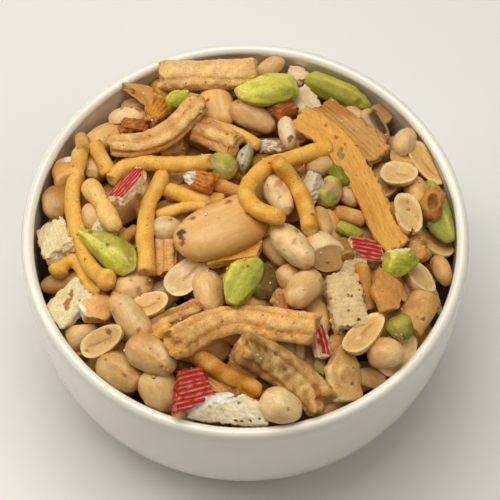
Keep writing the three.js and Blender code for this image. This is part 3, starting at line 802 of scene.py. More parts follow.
def noodle(piece, run, fine, seed):
    form, half, _ = bar_form(piece, run, fine, 0.5, 22, nose=0.45)
    fat = 1 + piece.get("lumpy", 0.06) * form.lumps(4, seed, LENGTHWISE)
    fat += piece.get("knob", 0) * bell(form.x - 2, 2.2)
    fat += piece.get("end_knob", 0) * bell(run - form.x - 2, 2.2)
    rounded = np.where(form.x < run / 2, *piece.get("round", (0, 0)))
    shrink = np.sqrt(np.clip(1 - (1 - form.end / half) ** 2, 0.03, 1))
    fat *= np.where(form.end < half, 1 - rounded * (1 - shrink), 1)
    form.y = form.y * half * fat + 0.12 * half * form.lumps(7, seed + 1, LENGTHWISE)
    form.z = form.z * half * fat
    form.x += 0.25 * form.lumps(2.5, seed + 2) * (form.end < 0.6)
    form.tone(piece.get("tint", NOODLE))
    form.tone(NOODLE_PALE, 0.15 + 0.3 * form.lumps(3, seed + 3))
    form.tone(NOODLE_RIM, 0.3 * step(form.ring, 0.7, 0.95) * step(0.8 - form.end, 0, 0.5))
    face = (form.end < 0.2) * step(0.85 - form.ring, 0, 0.2) * (1 - rounded)
    form.tone(NOODLE_CUT, face)
    form.tone(NOODLE_RIM, 0.5 * face * step(form.lumps(0.9, seed + 4), 0, 0.8))
    form.crumb = face
    return form


tip_in("fried_noodles", NOODLES, noodle, [(0.05, 1.4), (0.035, 0.7)],
       material=toasted("fried_gram_dough", "8A4A1C", 0.25, grain=2.6, depth=0.12, gloss=0.5,
                        mottle=0.42, speck_size=0.17, dust=0.35))

# ---- ridged corn sticks -------------------------------------------------------------------
# Sticks of spiced maize dough, pressed through a star die, so that rounded ridges run along
# them. They are fried crisp, with a rough skin, red and brown flecks of spice and ragged ends.

STICK = "DFA558"
STICK_RIDGE_HIGHLIGHT = "EDC880"
STICK_SHADE_AND_TOAST = "B9772F"
STICK_BROWN = "966224"
STICK_PIT_SHADE = "6E4420"
STICK_LOBES = 5
STICK_RIDGES = 0.17

RIDGED_STICKS = [
    bent([(162, 76), (210, 75.5), (256, 73)], 9.6, 3, thick=8, tint="ECBB78", spin=8, groove=0.35),
    bent([(111, 145), (130, 145), (150, 142), (170, 131.5), (186, 116), (199, 100)], 9, 3, thick=6,
         tint="D8A058", spin=-22, groove=0.8),
    bent([(191, 127), (215, 136), (237, 147)], 7.6, 2, thick=5, tint="D29A55", spin=-26,
         groove=0.8),
    bent([(150, 331), (175, 318), (199, 309)], 6, 1, thick=4.5, lift=0.6, tint="B07C3C", spin=30,
         groove=0.8),
    bent([(174, 346), (190, 336), (211, 326), (240, 321), (278, 325), (315, 330)], 8.6, 4, thick=6,
         spin=-26, groove=0.8),
    bent([(243, 347), (262, 356), (285, 371), (305, 387), (323, 405)], 9.6, 3, thick=6.4,
         tint=STICK_BROWN, spin=22, groove=0.25,
         pits=[(6, 1.0, 0.7), (9.5, 2.0, 0.5), (14, 0.2, 0.6), (17, 1.6, 0.4)]),
    bent([(166, 237), (164, 275)], 6.4, 2, thick=4.4, spin=0, groove=0.9),
]


def ridged_stick(piece, run, fine, seed):
    form, half, rise = bar_form(piece, run, fine, 0.45, 60, nose=0.6)
    turn = np.arctan2(form.z, form.y) - math.pi / 2 + math.radians(piece["spin"])
    turn += 0.15 * form.lumps(14, seed, LENGTHWISE)
    lobe = abs(np.cos(turn * STICK_LOBES / 2 + math.pi / 2)) ** piece["groove"]
    lobe = np.minimum(1, lobe * 1.12)
    reach = 1 - STICK_RIDGES + STICK_RIDGES * lobe
    fat = 1 + 0.05 * form.lumps(6, seed + 1, LENGTHWISE)
    form.y *= half * reach * fat
    form.z *= rise * reach * fat
    form.x += 0.9 * form.lumps(2.4, seed + 2) * (form.end < 0.9)
    form.tone(piece.get("tint", STICK))
    # Painted highlight along the ridges and painted shade in the valleys, over random paler and
    # darker patches; the broken ends are darker too.
    form.tone(STICK_RIDGE_HIGHLIGHT, 0.45 * step(lobe, 0.6, 1) + 0.25 * form.lumps(2, seed + 3))
    form.tone(STICK_SHADE_AND_TOAST, 0.55 * step(0.4 - lobe, 0, 0.4))
    form.tone(STICK_SHADE_AND_TOAST, 0.35 * step(form.lumps(3.4, seed + 4), 0.4, 1.4))
    # The pits are dented and painted dark: painted shade in the hollows.
    for x_mm, y_mm, size in piece.get("pits", ()):
        form.dot(x_mm, y_mm, size, STICK_PIT_SHADE, seed, 0.8)
        out = np.hypot(form.x - x_mm, form.y - y_mm) / size
        form.z -= size * step(1 - out, 0, 0.7) * (form.z > 0)
    form.crumb = step(1.2 - form.end, 0, 0.8)
    form.tone(STICK_SHADE_AND_TOAST, 0.25 * form.crumb)
    return form


tip_in("ridged_corn_sticks", RIDGED_STICKS, ridged_stick, [(0.08, 1.8), (0.08, 0.8)],
       material=toasted("fried_maize", "A04A22", 0.42, grain=2.2, depth=0.2, gloss=0.55, pits=0.5,
                        speck_size=0.2, mottle=0.6, dust=0.3))

# ---- corn strips --------------------------------------------------------------------------
# Flat ribbons of baked maize dough, bent like shallow gutters. Fine grooves run along them from
# the rollers, and the edges that broke are torn.

STRIP = "DDA044"
STRIP_DARK_AND_GROOVE_SHADE = "BC7C2A"
STRIP_GREY = "8A7048"
STRIP_ROLL = "B27228"
STRIP_PALE = "C8964F"
STRIP_SPOT = "8A4A24"
STRIP_PITCH = 1.3

STRIPS = [
    bent([(298, 117), (330, 138), (352, 166), (371, 200), (385, 232), (398, 249)], 8.1, 4,
         thick=1.8, roll=0.3, tint=STRIP, gutter=0.4, taper=0.1, furrow=0.02),
    bent([(322, 107), (346, 127), (380, 158)], 7.6, 3, thick=2.4, tint=STRIP_PALE, gutter=0.9,
         taper=-0.1, furrow=0.11),
]


def corn_strip(piece, run, fine, seed):
    form, half, rise = bar_form(piece, run, fine, 0.4, 72, power=5, nose=0.4)
    side = form.y.copy()
    wander = 0.5 * form.lumps(9, seed + 3, (1, 3, 0))
    grooves = np.cos(side * half * 2 * math.pi / STRIP_PITCH + wander) * (form.z > 0)
    form.z = form.z * rise + piece["gutter"] * rise * side**2 + piece["furrow"] * grooves
    form.y *= half * (1 - piece["taper"] * form.unit)
    torn = 0.3 * form.lumps(1.6, seed) + 0.25 * form.lumps(0.8, seed + 1)
    tearing = step(side, 0.75, 1) * step(form.unit, -0.3, 0.2) + 0.3 * step(abs(side), 0.75, 1)
    form.y += torn * tearing
    form.x += torn * (form.end < 0.6)
    form.tone(piece["tint"])
    # Darker towards the far end; on the deeply furrowed strip, painted shade in the grooves.
    far_end = step(form.unit * 0.7 - side * 0.3, 0, 1.1) * step(0.9 - form.unit, 0, 0.5)
    form.tone(STRIP_DARK_AND_GROOVE_SHADE, far_end)
    form.tone(STRIP_DARK_AND_GROOVE_SHADE, 0.45 * step(-grooves, 0.2, 1) * (piece["furrow"] > 0.1))
    form.crumb = step(abs(side), 0.8, 1)
    if piece["tint"] == STRIP:
        form.dot(run * 0.36, -1.4, 1.2, STRIP_GREY, seed, 0.8)
        form.dot(run * 0.33, -0.2, 0.7, STRIP_GREY, seed + 1, 0.8)
        for share, over in ((0.31, 1.6), (0.25, 1.0), (0.16, 1.8)):
            form.dot(run * share, over, 0.5, STRIP_SPOT, seed, 0.8)
    else:
        form.tone(STRIP_ROLL, step(0.3 - form.x / run + 0.25 * side, 0, 0.2))
    return form


tip_in("corn_strips", STRIPS, corn_strip, [(0.05, 1.6), (0.04, 0.7)], flat=True,
       material=toasted("baked_maize_ribbon", STRIP_SPOT, 0.22, grain=2.0, depth=0.14,
                        stretch=(0.35, 1.6, 1), gloss=0.52, mottle=0.4, speck_size=0.18, dust=0.3))

# ---- broad beans --------------------------------------------------------------------------
# Whole broad beans without their skins, roasted smooth and firm. A faint crease runs along each,
# and here and there the roasting left a brown blister.

BEAN = "E2B26C"
BEAN_PAINTED_SHADE = "BE8034"
BEAN_PALE = "F0CC92"
BEAN_SPOT = "A45E24"

BEANS = [
    lain((221, 227), -25, 27, 16.5, 3, thick=10.5,
         # The first, near-black spot is painted shade in the cleft by the narrow end; the rest are
         # brown blisters.
         spots=[(2.6, 0.7, 1.3, "2E2716"), (4.4, 4.6, 0.7, BEAN_SPOT), (6.6, 3.2, 0.8, BEAN_SPOT),
                (17.6, 3.4, 0.9, BEAN_SPOT), (20.0, -2.4, 0.7, BEAN_SPOT),
                (1.6, -1.2, 0.8, BEAN_SPOT)]),
    lain((217, 108), 80, 14, 11.5, 1, thick=7,
         spots=[(6.0, -4.4, 0.9, "9A4F2A"), (6.4, -2.0, 0.7, "9A4F2A")]),
    lain((105, 138), -35, 14, 10, 1, thick=7),
]


def broad_bean(piece, run, fine, seed):
    form, half, rise = egg_form(piece, run, fine, 56, 52, 2.3)
    x, side = form.unit, form.y.copy()
    form.y = (side - 0.1 * (1 - x * x)) * (1 + 0.12 * x) * half
    form.z = form.z * rise * (1 - 0.08 * x)
    arch = 1 - x * x
    for place, deep in ((0.3, 0.34), (0.05, 0.2), (-0.35, 0.16)):
        bow = place * (1 - 0.5 * x * x)
        form.z -= deep * bell(side - bow, 0.05) * arch * (form.z > 0)
    form.z -= 0.9 * np.exp(-((x + 0.92) / 0.09) ** 2 - ((side + 0.2) / 0.25) ** 2) * (form.z > 0)
    form.tone(BEAN)
    # Painted shade over the far end and one side of the bean.
    form.tone(BEAN_PAINTED_SHADE, 0.6 * step(x - side, 0.1, 1.3) + 0.5 * step(x, 0.6, 0.95))
    form.tone(BEAN_PALE, 0.3 * bell(side - 0.4, 0.12) * arch)
    form.spots(piece, seed, 0.95)
    return form


tip_in("broad_beans", BEANS, broad_bean, [(0.16, 5), (0.05, 1.8)],
       material=toasted("roasted_bean", "A4682A", 0.06, grain=1.2, depth=0.03,
                        stretch=(0.4, 1.3, 1), gloss=0.42, mottle=0.2, sheen=0.1, dust=0.1))

# ---- whole peanuts ------------------------------------------------------------------------
# Blanched peanut kernels, roasted in oil: fat ovals with a small beak at one end and the seam
# between their halves showing on some, pale where they are plump and toasted brown in spots.

PEANUT = "E2B776"
PEANUT_TOAST = "C68E48"
PEANUT_PALE = "EFCE92"
PEANUT_SPOT = "A55E28"
PEANUT_SEAM_SHADE = "7E4A1E"
PEANUT_CHAR = "40290F"
SPLIT_FACE = "DDB576"

KERNELS = [
    lain((253, 117), 20, 14.4, 7.2, 2, tint="D4A66A",
         spots=[(1.6, 0.2, 0.5, "6E3C20"), (3.2, 0.8, 0.4, "6E3C20"),
                (12.0, 1.0, 0.5, PEANUT_SPOT)]),
    lain((57, 204), 80, 10.4, 8.4, 2, tint="A87636"),
    lain((95, 218), 70, 8.8, 7.2, 1, lift=0.5, tint="D3A868"),
    lain((279, 196), 66, 12.8, 7.8, 2, lift=1.2, tint="EBCB95",
         spots=[(4.6, 0.6, 1.3, "B86F34"), (8.4, -1.0, 0.5, PEANUT_SPOT)]),
    lain((294, 247), 51, 16.6, 8.0, 3, tint="E4C288",
         spots=[(6.8, 0.9, 0.8, PEANUT_SPOT), (9.6, -1.9, 0.9, "B4773A"),
                (11.2, -0.6, 0.5, "B4773A"), (12.4, 2.9, 0.9, "8C4524"), (4.2, 3.0, 0.7, "C08A4C"),
                (2.0, 1.4, 0.9, "DDAE6A")]),
    lain((303, 289), 126, 13.6, 8.2, 2, spots=[(3.4, 0.8, 0.4, PEANUT_SPOT)]),
    lain((290, 281), 60, 9, 7.4, 1, lift=0.4, tint="D9A866"),
    lain((129.5, 317), -129, 16, 7.8, 3, tint="CFA668",
         spots=[(3.4, -1.4, 0.6, PEANUT_SPOT), (11.0, 1.8, 0.5, PEANUT_SPOT),
                (15.2, 0.0, 0.7, "A8743C")]),
    lain((133, 288), -18, 11, 8.2, 2, tint="DFB87C",
         spots=[(10.0, -1.0, 0.9, "A8703A"), (6.8, -2.6, 0.9, "B07A42"),
                (6.0, 1.0, 0.4, PEANUT_SPOT)]),
    lain((120, 373), 33, 13.6, 9.6, 2, tint="C89858", seam=0.02),
    lain((152, 356), 33, 14.8, 9.2, 3, tint="D0A264", seam=0.3,
         spots=[(10.4, 2.0, 0.5, PEANUT_SPOT), (13.6, 1.6, 0.6, "A8743C")]),
    lain((158, 393), 62, 12, 9.8, 2, tint="D6AE70"),
    lain((282, 408), 14, 11.3, 8.8, 3, tint="E9C78E",
         spots=[(4.6, 1.2, 0.4, PEANUT_SPOT), (6.6, 0.2, 0.4, PEANUT_SPOT)]),
    lain((386, 353), 5, 9.8, 8, 2, spots=[(4.0, 1.8, 0.4, "C98A48"), (6.0, -0.4, 0.4, "C98A48")]),
    lain((167, 229), 0, 8, 6.8, 0, lift=0.5, tint="D9BC8C"),
    lain((94, 165), 80, 10, 7, 0),
    lain((184, 86), 20, 12, 7, 0, thick=5),
    lain((236, 86), -30, 12, 7, 0, thick=5),
    # This one lies low in shadow; its darker tint is painted shade.
    lain((321, 166), -10, 9, 6, 0, tint="C2985E"),
    lain((347, 195), 50, 8.4, 5.4, 0, tint="A87C48"),
    lain((255, 301), 0, 9, 7, 1),
    lain((325, 253), 40, 13.6, 9.6, 2, tint="E6CB9A", broken=True),
    lain((277, 251), 55, 9.8, 6.4, 1, tint="CE9F63"),
    lain((185, 416), -10, 8, 6, 1),
    lain((326, 409), -20, 10, 6, 0, tint="C69A62"),
    lain((337, 343), -40, 7.8, 4.8, 2, tint="BE8226"),
    lain((375, 127), 57, 11.6, 7, 2, thick=5.6, tint="B8935C", charred=True),
]


def whole_kernel(piece, run, fine, seed):
    form, half, rise = egg_form(piece, run, fine, 40, 36, 2.25)
    x = form.unit
    turn = np.arctan2(form.z, form.y)
    belly = 1 - 0.12 * x
    beak = 1 - 0.35 * step(x, 0.8, 1.0)
    wrinkle = 0.014 * np.cos(turn * 9 + 2 * form.lumps(6, seed, (1, 0, 0)))
    reach = belly * beak * (1 + wrinkle + 0.035 * form.lumps(6, seed + 1))
    form.y *= half * reach
    form.z *= rise * reach
    seam_turn = math.pi / 2 + piece.get("seam", 2.2)
    seam = bell(turn - seam_turn, 0.09) * step(1 - abs(x), 0.05, 0.4)
    seam *= step(x, -0.5, 0.2)
    form.y *= 1 - 0.07 * seam
    form.z *= 1 - 0.07 * seam
    form.tone(piece.get("tint", PEANUT))
    form.tone(PEANUT_PALE, 0.2 + 0.35 * form.lumps(5, seed + 2))
    form.tone(PEANUT_TOAST, 0.55 * step(x, 0.72, 1) + 0.34 * form.lumps(3, seed + 3))
    if piece.get("broken"):
        cut = run * (0.74 + 0.12 * form.y / half - 0.22 * form.z / rise)
        face = form.x > cut
        form.x = np.minimum(form.x, cut)
        form.tone(SPLIT_FACE, 1.0 * face)
    if piece.get("charred"):
        streaks = form.lumps(2.4, seed + 5, (0.4, 1.1, 1))
        within = step(0.85 - abs(x), 0, 0.15) * step(0.8 - abs(form.y) / half, 0, 0.2)
        form.tone(PEANUT_CHAR, 0.9 * step(streaks, 0.15, 0.5) * within)
    # The seam is painted dark: painted shade in the groove between the halves.
    broken_seam = step(form.lumps(1.2, seed + 4), -0.6, 0.4)
    form.tone(PEANUT_SEAM_SHADE, 0.85 * seam * broken_seam)
    form.spots(piece, seed, 0.8)
    return form


tip_in("whole_peanuts", KERNELS, whole_kernel, [(0.09, 2.6), (0.04, 1.0)],
       material=toasted("roasted_peanut", "A0602A", 0.2, grain=1.5, depth=0.05,
                        stretch=(0.5, 1.2, 1.2), gloss=0.42, mottle=0.3, sheen=0.1, speck_size=0.22,
                        dust=0.2))

# ---- split peanuts ------------------------------------------------------------------------
# Peanut kernels that came apart. The face that was inside is flat, with a pale rim, a groove
# down the middle and the little germ at one end; the other side is round.

FACE_RIM = "F0CF94"
FACE_MIDDLE = "D8AC66"
FACE_GROOVE_SHADE = "A8742E"
SPLIT_BACK = "DDB06A"
GERM = "F4DFB4"

HALVES = [
    lain((127, 114), -3, 10.6, 6, 2, thick=4, lift=1.5, tint="F0D09A", back=True,
         spots=[(9.0, 0.3, 0.9, "7E1E22"), (4.0, 0.3, 0.5, PEANUT_SPOT)]),
    lain((129, 101), 14, 8.4, 5.4, 1, thick=3.8, lift=2.0, tint="E8C488", back=True),
    lain((271, 57), -34, 9.6, 6, 4, thick=3.6, lift=3.8, tip=0.3, tint="DDB272", back=True),
    lain((288, 131), 80, 10.4, 4.8, 3, thick=4.2, tint="EAD2A2", spots=[(8.2, 0.0, 0.8, "4E2E14")],
         back=True),
    lain((404, 139), -62, 10, 6.6, 2, thick=4.4, lift=1, tint="E0BC84", back=True),
    lain((434, 161), 50, 14.4, 6.6, 3, thick=4.2, tint="D9AE6C", slot=(0.2, 0.5)),
    lain((417, 143), 40, 8, 5, 1, thick=3.8, lift=0.6, back=True),
    lain((355, 115), 35, 8, 5, 1, thick=4, lift=1.6, tint="E2C28C", back=True),
    lain((399.5, 176.5), 12, 10.2, 9, 3, thick=4, tint="E2BE82", deep=0.2),
    lain((416, 190), 75, 10.5, 6.4, 2, thick=4, back=True),
    lain((407, 217), 84, 14.2, 7.6, 4, thick=4.4, tint="E4C084", deep=0.5, slot=(-0.6, 0.22),
         notch=0.9),
    lain((418, 281), 70, 11.4, 8.4, 3, thick=4.4, tint="DDBA80", deep=0.25, slot=(0.8, 0.3)),
    lain((443, 269), 65, 9, 5, 1, thick=3.6, back=True),
    lain((403, 290), 62, 9, 5.6, 1, thick=4, lift=0.5),
    lain((365, 337), -49, 15.2, 7.6, 4, thick=4.6, deep=0.9, germ=-0.25),
    lain((398, 357), -46, 14, 9.4, 1, thick=4.4, lift=0.8, tint="E6C890"),
    lain((320, 219), 70, 10, 5, 2, thick=3.6, back=True),
    lain((330, 227), 65, 11.5, 6.6, 1, thick=4, back=True),
    lain((342, 264), 60, 11, 7, 1, thick=4.4, back=True),
    lain((187, 277), -38, 13.6, 8.2, 2, thick=4, tint="E0C798", deep=0.2, germ=-0.72),
    lain((210, 291), 75, 13, 8.4, 2, thick=5, tint="E6BC7E", back=True),
    lain((151, 306), -16, 9.8, 6.6, 2, thick=4.4, slot=(-0.2, 0.7)),
    lain((79, 333), -24, 9.6, 8, 2, thick=4.4, tint="DFB678", back=True,
         planes=[(0.47, -0.88, 0, 0.43), (-0.99, -0.15, 0, 0.69)]),
    lain((105, 341), -12, 13.6, 6.8, 3, thick=4.4, tint="DDB172", deep=0.45, slot=(-0.1, 0.7),
         spots=[(9.6, 1.2, 0.9, "7A4A20"), (1.6, -0.6, 0.5, PEANUT_SPOT)]),
    lain((318, 315), 62, 11, 7, 1, thick=4, back=True),
    lain((299, 351), 76, 6, 3.4, 1, thick=2.8, tint="DDB67C", back=True),
    lain((286, 347), 60, 6, 4, 1, thick=3, tint="D9BE92", back=True),
]


def split_kernel(piece, run, fine, seed):
    form, half, rise = egg_form(piece, run, fine, 42, 46, 2.3)
    break_along(form, piece.get("planes", ()), soft=0.1)
    x, side, high = form.unit, form.y.copy(), form.z.copy()
    flat = high > 0
    edge = np.sqrt(np.clip(x**2 + side**2, 0, 1))
    bend = 0.12 * np.sin(2.2 * x + seed)
    middle, reach = piece.get("slot", (0.15, 0.45))
    slot = bell(side - bend, 0.07) * step(reach - abs(x - middle), 0, 0.2)
    trough = bell(side - bend, 0.4) * step(0.8 - abs(x), 0, 0.4)
    dish = step(0.94 - edge + 0.03 * form.lumps(3, seed), 0, 0.2)
    deep = piece.get("deep", 0.8)
    germ = 0 * x
    if "germ" in piece:
        germ = np.exp(-(((x - piece["germ"]) / 0.1) ** 2) - ((side - bend) / 0.13) ** 2)
    level = 0.74 - 0.07 * dish - deep * (0.1 * trough + 0.2 * slot) + 0.14 * germ
    form.z = np.where(flat, level, 0.7 + 1.7 * high) * rise
    notch = piece.get("notch", 0) * bell(side, 0.12) * step(x, 0.5, 1)
    form.x -= 1.6 * notch
    form.y = side * half * (1 - 0.12 * x)
    form.z += 0.12 * rise * x**2
    form.tone(piece.get("tint", SPLIT_BACK))
    cloudy = 0.55 - 0.3 * form.lumps(4, seed)
    form.tone(FACE_MIDDLE, cloudy * flat * dish)
    form.tone(FACE_RIM, 0.7 * flat * (1 - dish))
    # Painted shade in the groove, the slot and the notch of the face.
    form.tone(FACE_GROOVE_SHADE, 0.8 * flat * slot + flat * deep * 0.2 * trough)
    form.tone(FACE_GROOVE_SHADE, 0.8 * notch)
    form.tone(GERM, 0.8 * flat * germ)
    form.spots(piece, seed, 0.9, top=not piece.get("back"))
    if piece.get("back"):
        form.z *= -1
        form.y *= -1
        form.tone(PEANUT_TOAST, 0.15 + 0.25 * form.lumps(4, seed + 1))
    return form


tip_in("split_peanuts", HALVES, split_kernel, [(0.07, 2.4), (0.04, 1.0)],
       material=toasted("split_peanut", "A0602A", 0.14, grain=1.5, depth=0.05,
                        stretch=(0.5, 1.2, 1.2), gloss=0.44, mottle=0.3, sheen=0.08, speck_size=0.2,
                        dust=0.2))

# ---- green seeds --------------------------------------------------------------------------
# Hulled green seeds and nuts, plump and bright or flat and olive. Their skins are dry and
# crinkled, with paler bald patches and pinkish specks of the old hull, and one has split.

GREEN = "C6C03C"
GREEN_HIGHLIGHT = "E2D65C"
GREEN_OLIVE = "A39A30"
GREEN_DARK_AND_SHADE = "77751C"
GREEN_BALD = "E8C9A4"
HULL_TAN = "BE9A62"
NUT_GREY = "C2B698"
NUT_HOLE_SHADE = "5C4C34"
NUT_PALE = "E9D6BC"
NUT_TAN = "B08A62"

SEEDS = [
    lain((107, 250), -143, 21, 8.4, 3, thick=6, tint=GREEN, lit=0.7, bald=1.0, ridge=0.1,
         spots=[(9.6, -0.4, 0.6, "4E5218"), (17.0, -1.0, 0.6, "6A6428")],
         planes=[(-0.75, -0.5, 0.3, 0.75)], slender=True),
    lain((268.5, 88), -19, 20.2, 12, 4, thick=8, tint=GREEN, lit=1.0, ridge=-0.55,
         spots=[(9.4, 1.6, 1.0, "A8A62C")],
         planes=[(-0.6, 0.7, 0.5, 0.74), (0.75, -0.5, 0.3, 0.88), (-0.2, -0.8, 0.5, 0.66)]),
    lain((338.5, 90.5), 24, 20.6, 9.8, 3, thick=6.4, tint=GREEN_OLIVE, lit=0.3, ridge=-0.3,
         spots=[(13.2, 0.6, 0.6, "A0683C"), (12.4, 1.9, 0.4, "D9B79A")],
         planes=[(0.3, 0.85, 0.3, 0.8), (0.9, -0.4, 0.1, 0.86)]),
    lain((438, 211), 70, 20.2, 9.4, 1, thick=4.6, tint="A2A448", lit=0.3, ridge=0.2,
         spots=[(12.6, -3.4, 1.2, "D9C4B0")]),
    lain((349, 231), 10, 9, 4.8, 2, thick=4, tint="9A9830", lit=0.3),
    lain((340, 175), 60, 8, 5, 1, thick=4, tint="7C7B24", lit=0.0),
    lain((320, 365), 80, 6, 3.8, 2, thick=3, tint="A9A63E", lit=0.4, husk=0.0),
    lain((244, 157), -68, 9, 4.2, 3, thick=4, tint=NUT_GREY, lit=0.0, edge="93923A",
         planes=[(0.85, 0.5, 0.2, 0.75), (-0.8, 0.55, 0.2, 0.75)]),
    lain((328, 191), -55, 8.6, 7.6, 2, thick=6.6, tint="A8A24C", lit=0.4, husk=0.3),
]


def green_seed(piece, run, fine, seed):
    form, half, rise = egg_form(piece, run, fine, 56, 48, 2.3)
    break_along(form, facets(6, 0.74, 0.88, seed), soft=0.3)
    break_along(form, piece.get("planes", ()), soft=0.1)
    x, side = form.unit, form.y.copy()
    point = 0.5 if piece.get("slender") else 0.1
    form.y = (side - 0.12 * (1 - x * x)) * (1 - point * x) * half
    form.z = form.z * rise * (1 - 0.5 * point * x)
    top = form.z > 0
    crinkle = form.lumps(1.5, seed, (0.3, 1, 1))
    form.z += 0.09 * crinkle * top
    for place, deep in ((0.5, 0.3), (0.15, 0.14), (-0.3, 0.18)):
        form.z -= deep * bell(side - place - 0.1 * x, 0.06) * (1 - x * x) * top
    crest = bell(side - piece.get("ridge", 9), 0.08) * (1 - x * x) * top
    form.z += 0.3 * crest
    form.tone(piece["tint"])
    # Painted shade at the edges, in the crinkles and on one side of the ridge, where the edges are
    # also a darker green of their own; painted highlight over the middle, as far as lit, and along
    # the crest.
    form.tone(GREEN_DARK_AND_SHADE, 0.5 * step(abs(side), 0.6, 1) + 0.3 * step(-crinkle, 0.3, 1.2))
    form.tone(GREEN_HIGHLIGHT, piece["lit"] * step(0.8 - abs(side) - 0.2 * crinkle, 0, 0.5))
    form.tone(GREEN_DARK_AND_SHADE, 0.45 * step(piece.get("ridge", -9) - side, 0.0, 0.15) * top)
    form.tone(GREEN_HIGHLIGHT, 0.5 * crest)
    bald = step(form.lumps(1.4, seed + 1), 0.5, 1.0) * step(0.5 - abs(side), 0, 0.3)
    form.tone(GREEN_BALD, 0.6 * bald * piece.get("bald", 0))
    if "husk" in piece:
        form.tone(HULL_TAN, step(form.lumps(4, seed + 2), piece["husk"] - 0.4, 0.1))
    for x_mm, y_mm, size, shade in piece.get("spots", ()):
        form.dot(x_mm, y_mm, size, shade, seed, 0.9)
        out = np.hypot(form.x - x_mm, form.y - y_mm) / size
        form.z -= 0.4 * size * step(1 - out, 0, 0.8) * top
    if "edge" in piece:
        form.tone(piece["edge"], step(-side, 0.5, 0.7))
        # Dark spots stand for pores: painted shade in the holes.
        holes = step(form.lumps(1.0, seed + 2), 0.7, 1.1) * step(0.4 + side, 0, 0.2)
        form.tone(NUT_HOLE_SHADE, 0.8 * holes)
        form.crumb = 1 - step(-side, 0.4, 0.7)
    return form


GREEN_BITS = [
    lain((178, 98), -16, 7, 5.8, 3, thick=4.4),
    lain((399, 260), -42, 11.4, 9.4, 4, thick=7, torn=(0.5, 0.4, 0.8, 0.64),
         planes=[(-0.75, 0.6, 0.3, 0.68), (0.35, -0.85, 0.35, 0.82), (-0.7, -0.7, 0.2, 0.8)]),
    lain((240, 279), -58, 14.4, 11.4, 4, thick=8,
         planes=[(0, -0.85, 0.55, 0.45), (0.92, 0.35, 0.2, 0.84), (0.3, 0.9, 0.3, 0.8),
                 (-0.7, 0.62, 0.3, 0.74)]),
    lain((399, 327), 8, 8.2, 7.6, 3, thick=5.8, tint="8C852C", lit=0.25,
         torn=(-0.3, -0.95, 0.3, 0.8), planes=[(-0.5, 0.8, 0.2, 0.74)]),
    # These two lie deep in shadow, and their dark olive tints are painted shade.
    lain((186, 364), 0, 8, 6, 1, tint="6E6A20", lit=0.1),
    lain((262, 281), 80, 11, 8.4, 1, thick=7, tint="6E5A2A", lit=0.0),
]


def green_bit(piece, run, fine, seed):
    form, half, rise = egg_form(piece, run, fine, 56, 52, 2.8)
    break_along(form, facets(6, 0.72, 0.88, seed), soft=0.15)
    break_along(form, piece.get("planes", ()))
    torn = np.zeros_like(form.x)
    if "torn" in piece:
        *way, keep = piece["torn"]
        torn = 1.0 * knock_off(form, np.array(way) / np.linalg.norm(way), keep)
    form.x = (form.unit + 1) * run / 2
    steep = form.y.copy()
    form.y *= half
    form.z *= rise
    creases = form.lumps(1.6, seed + 1, (0.3, 1, 1))
    ragged = form.lumps(0.8, seed + 3)
    form.z += 0.1 * creases * (form.z > 0) + 0.25 * ragged * torn
    lit = piece.get("lit", 0.8)
    form.tone(piece.get("tint", GREEN))
    # Painted highlight on the top and one side, as far as lit; painted shade in the creases and on
    # the other side.
    form.tone(GREEN_HIGHLIGHT, lit * step(form.z / rise + 0.5 * steep + 0.2 * creases, 0.0, 0.8))
    form.tone(GREEN_DARK_AND_SHADE, 0.35 * step(-creases, 0.4, 1.2) + 0.4 * step(-steep, 0.25, 0.5))
    form.tone(NUT_PALE, 0.95 * torn)
    form.tone(NUT_TAN, 0.6 * torn * step(ragged, 0.3, 1))
    form.crumb = torn
    return form


green_skin = toasted("green_seed_skin", "C08A70", 0.16, grain=2.4, depth=0.12,
                     stretch=(0.6, 1.2, 1.2), gloss=0.48, mottle=0.5, speck_size=0.18)
tip_in("green_seeds", SEEDS, green_seed, [(0.08, 1.8), (0.04, 0.8)], green_skin)
tip_in("green_nut_bits", GREEN_BITS, green_bit, [(0.06, 1.8), (0.05, 0.8)], green_skin)

# ---- the green pea ------------------------------------------------------------------------
# One dried pea, fried until its skin shrank on it: a green button with a tan rim where the
# skin has slipped, and a shallow dent in the middle.

PEA = "ABA740"
PEA_RIM = "B0966A"
PEA_BARE = "DDB59A"

PEAS = [
    lain((221.5, 166.5), 0, 8.8, 8.8, 3, thick=7.2),
]


def pea(piece, run, fine, seed):
    form, half, rise = egg_form(piece, run, fine, 44, 44, 2.2)
    out = np.hypot(form.unit, form.y)
    ring = bell(out - 0.88, 0.05) * (form.z > -0.3)
    form.z -= 0.1 * step(0.5 - out, 0, 0.4) * (form.z > 0)
    form.z += 0.06 * ring
    form.y *= half
    form.z *= rise
    form.tone(PEA)
    # Painted highlight over the middle of the pea.
    form.tone(GREEN_HIGHLIGHT, 0.25 * step(0.6 - out, 0, 0.5))
    form.tone(PEA_BARE, 0.45 * step(form.lumps(1.6, seed), 0.4, 1))
    form.tone(PEA_RIM, 0.9 * ring * step(form.x - run / 2 - form.y, -1.5, 2.5))
    return form


tip_in("fried_pea", PEAS, pea, [(0.09, 1.6), (0.04, 0.8)],
       material=toasted("fried_pea_skin", "C9A08C", 0.2, grain=2.2, depth=0.08, gloss=0.42,
                        mottle=0.4))

# ---- rice crackers ------------------------------------------------------------------------
# Puffed rice cakes cut from ribbed sheets. Their faces carry fine ribs, and the sides where
# they were cut are open and crumbly. Some were dyed red on the faces before they were baked.

CRACKER_RED = "B82A1C"
CRACKER_RED_SHADE = "861812"
CRACKER_RED_HIGHLIGHT = "E2A08C"
CRACKER_CREAM = "EBD7A8"
CRACKER_TAN_AND_SHADE = "CFAE70"
CRACKER_TORN = "F4EEE0"
CRACKER_BURN = "A9682C"
CRACKER_CHAR = "2E2015"

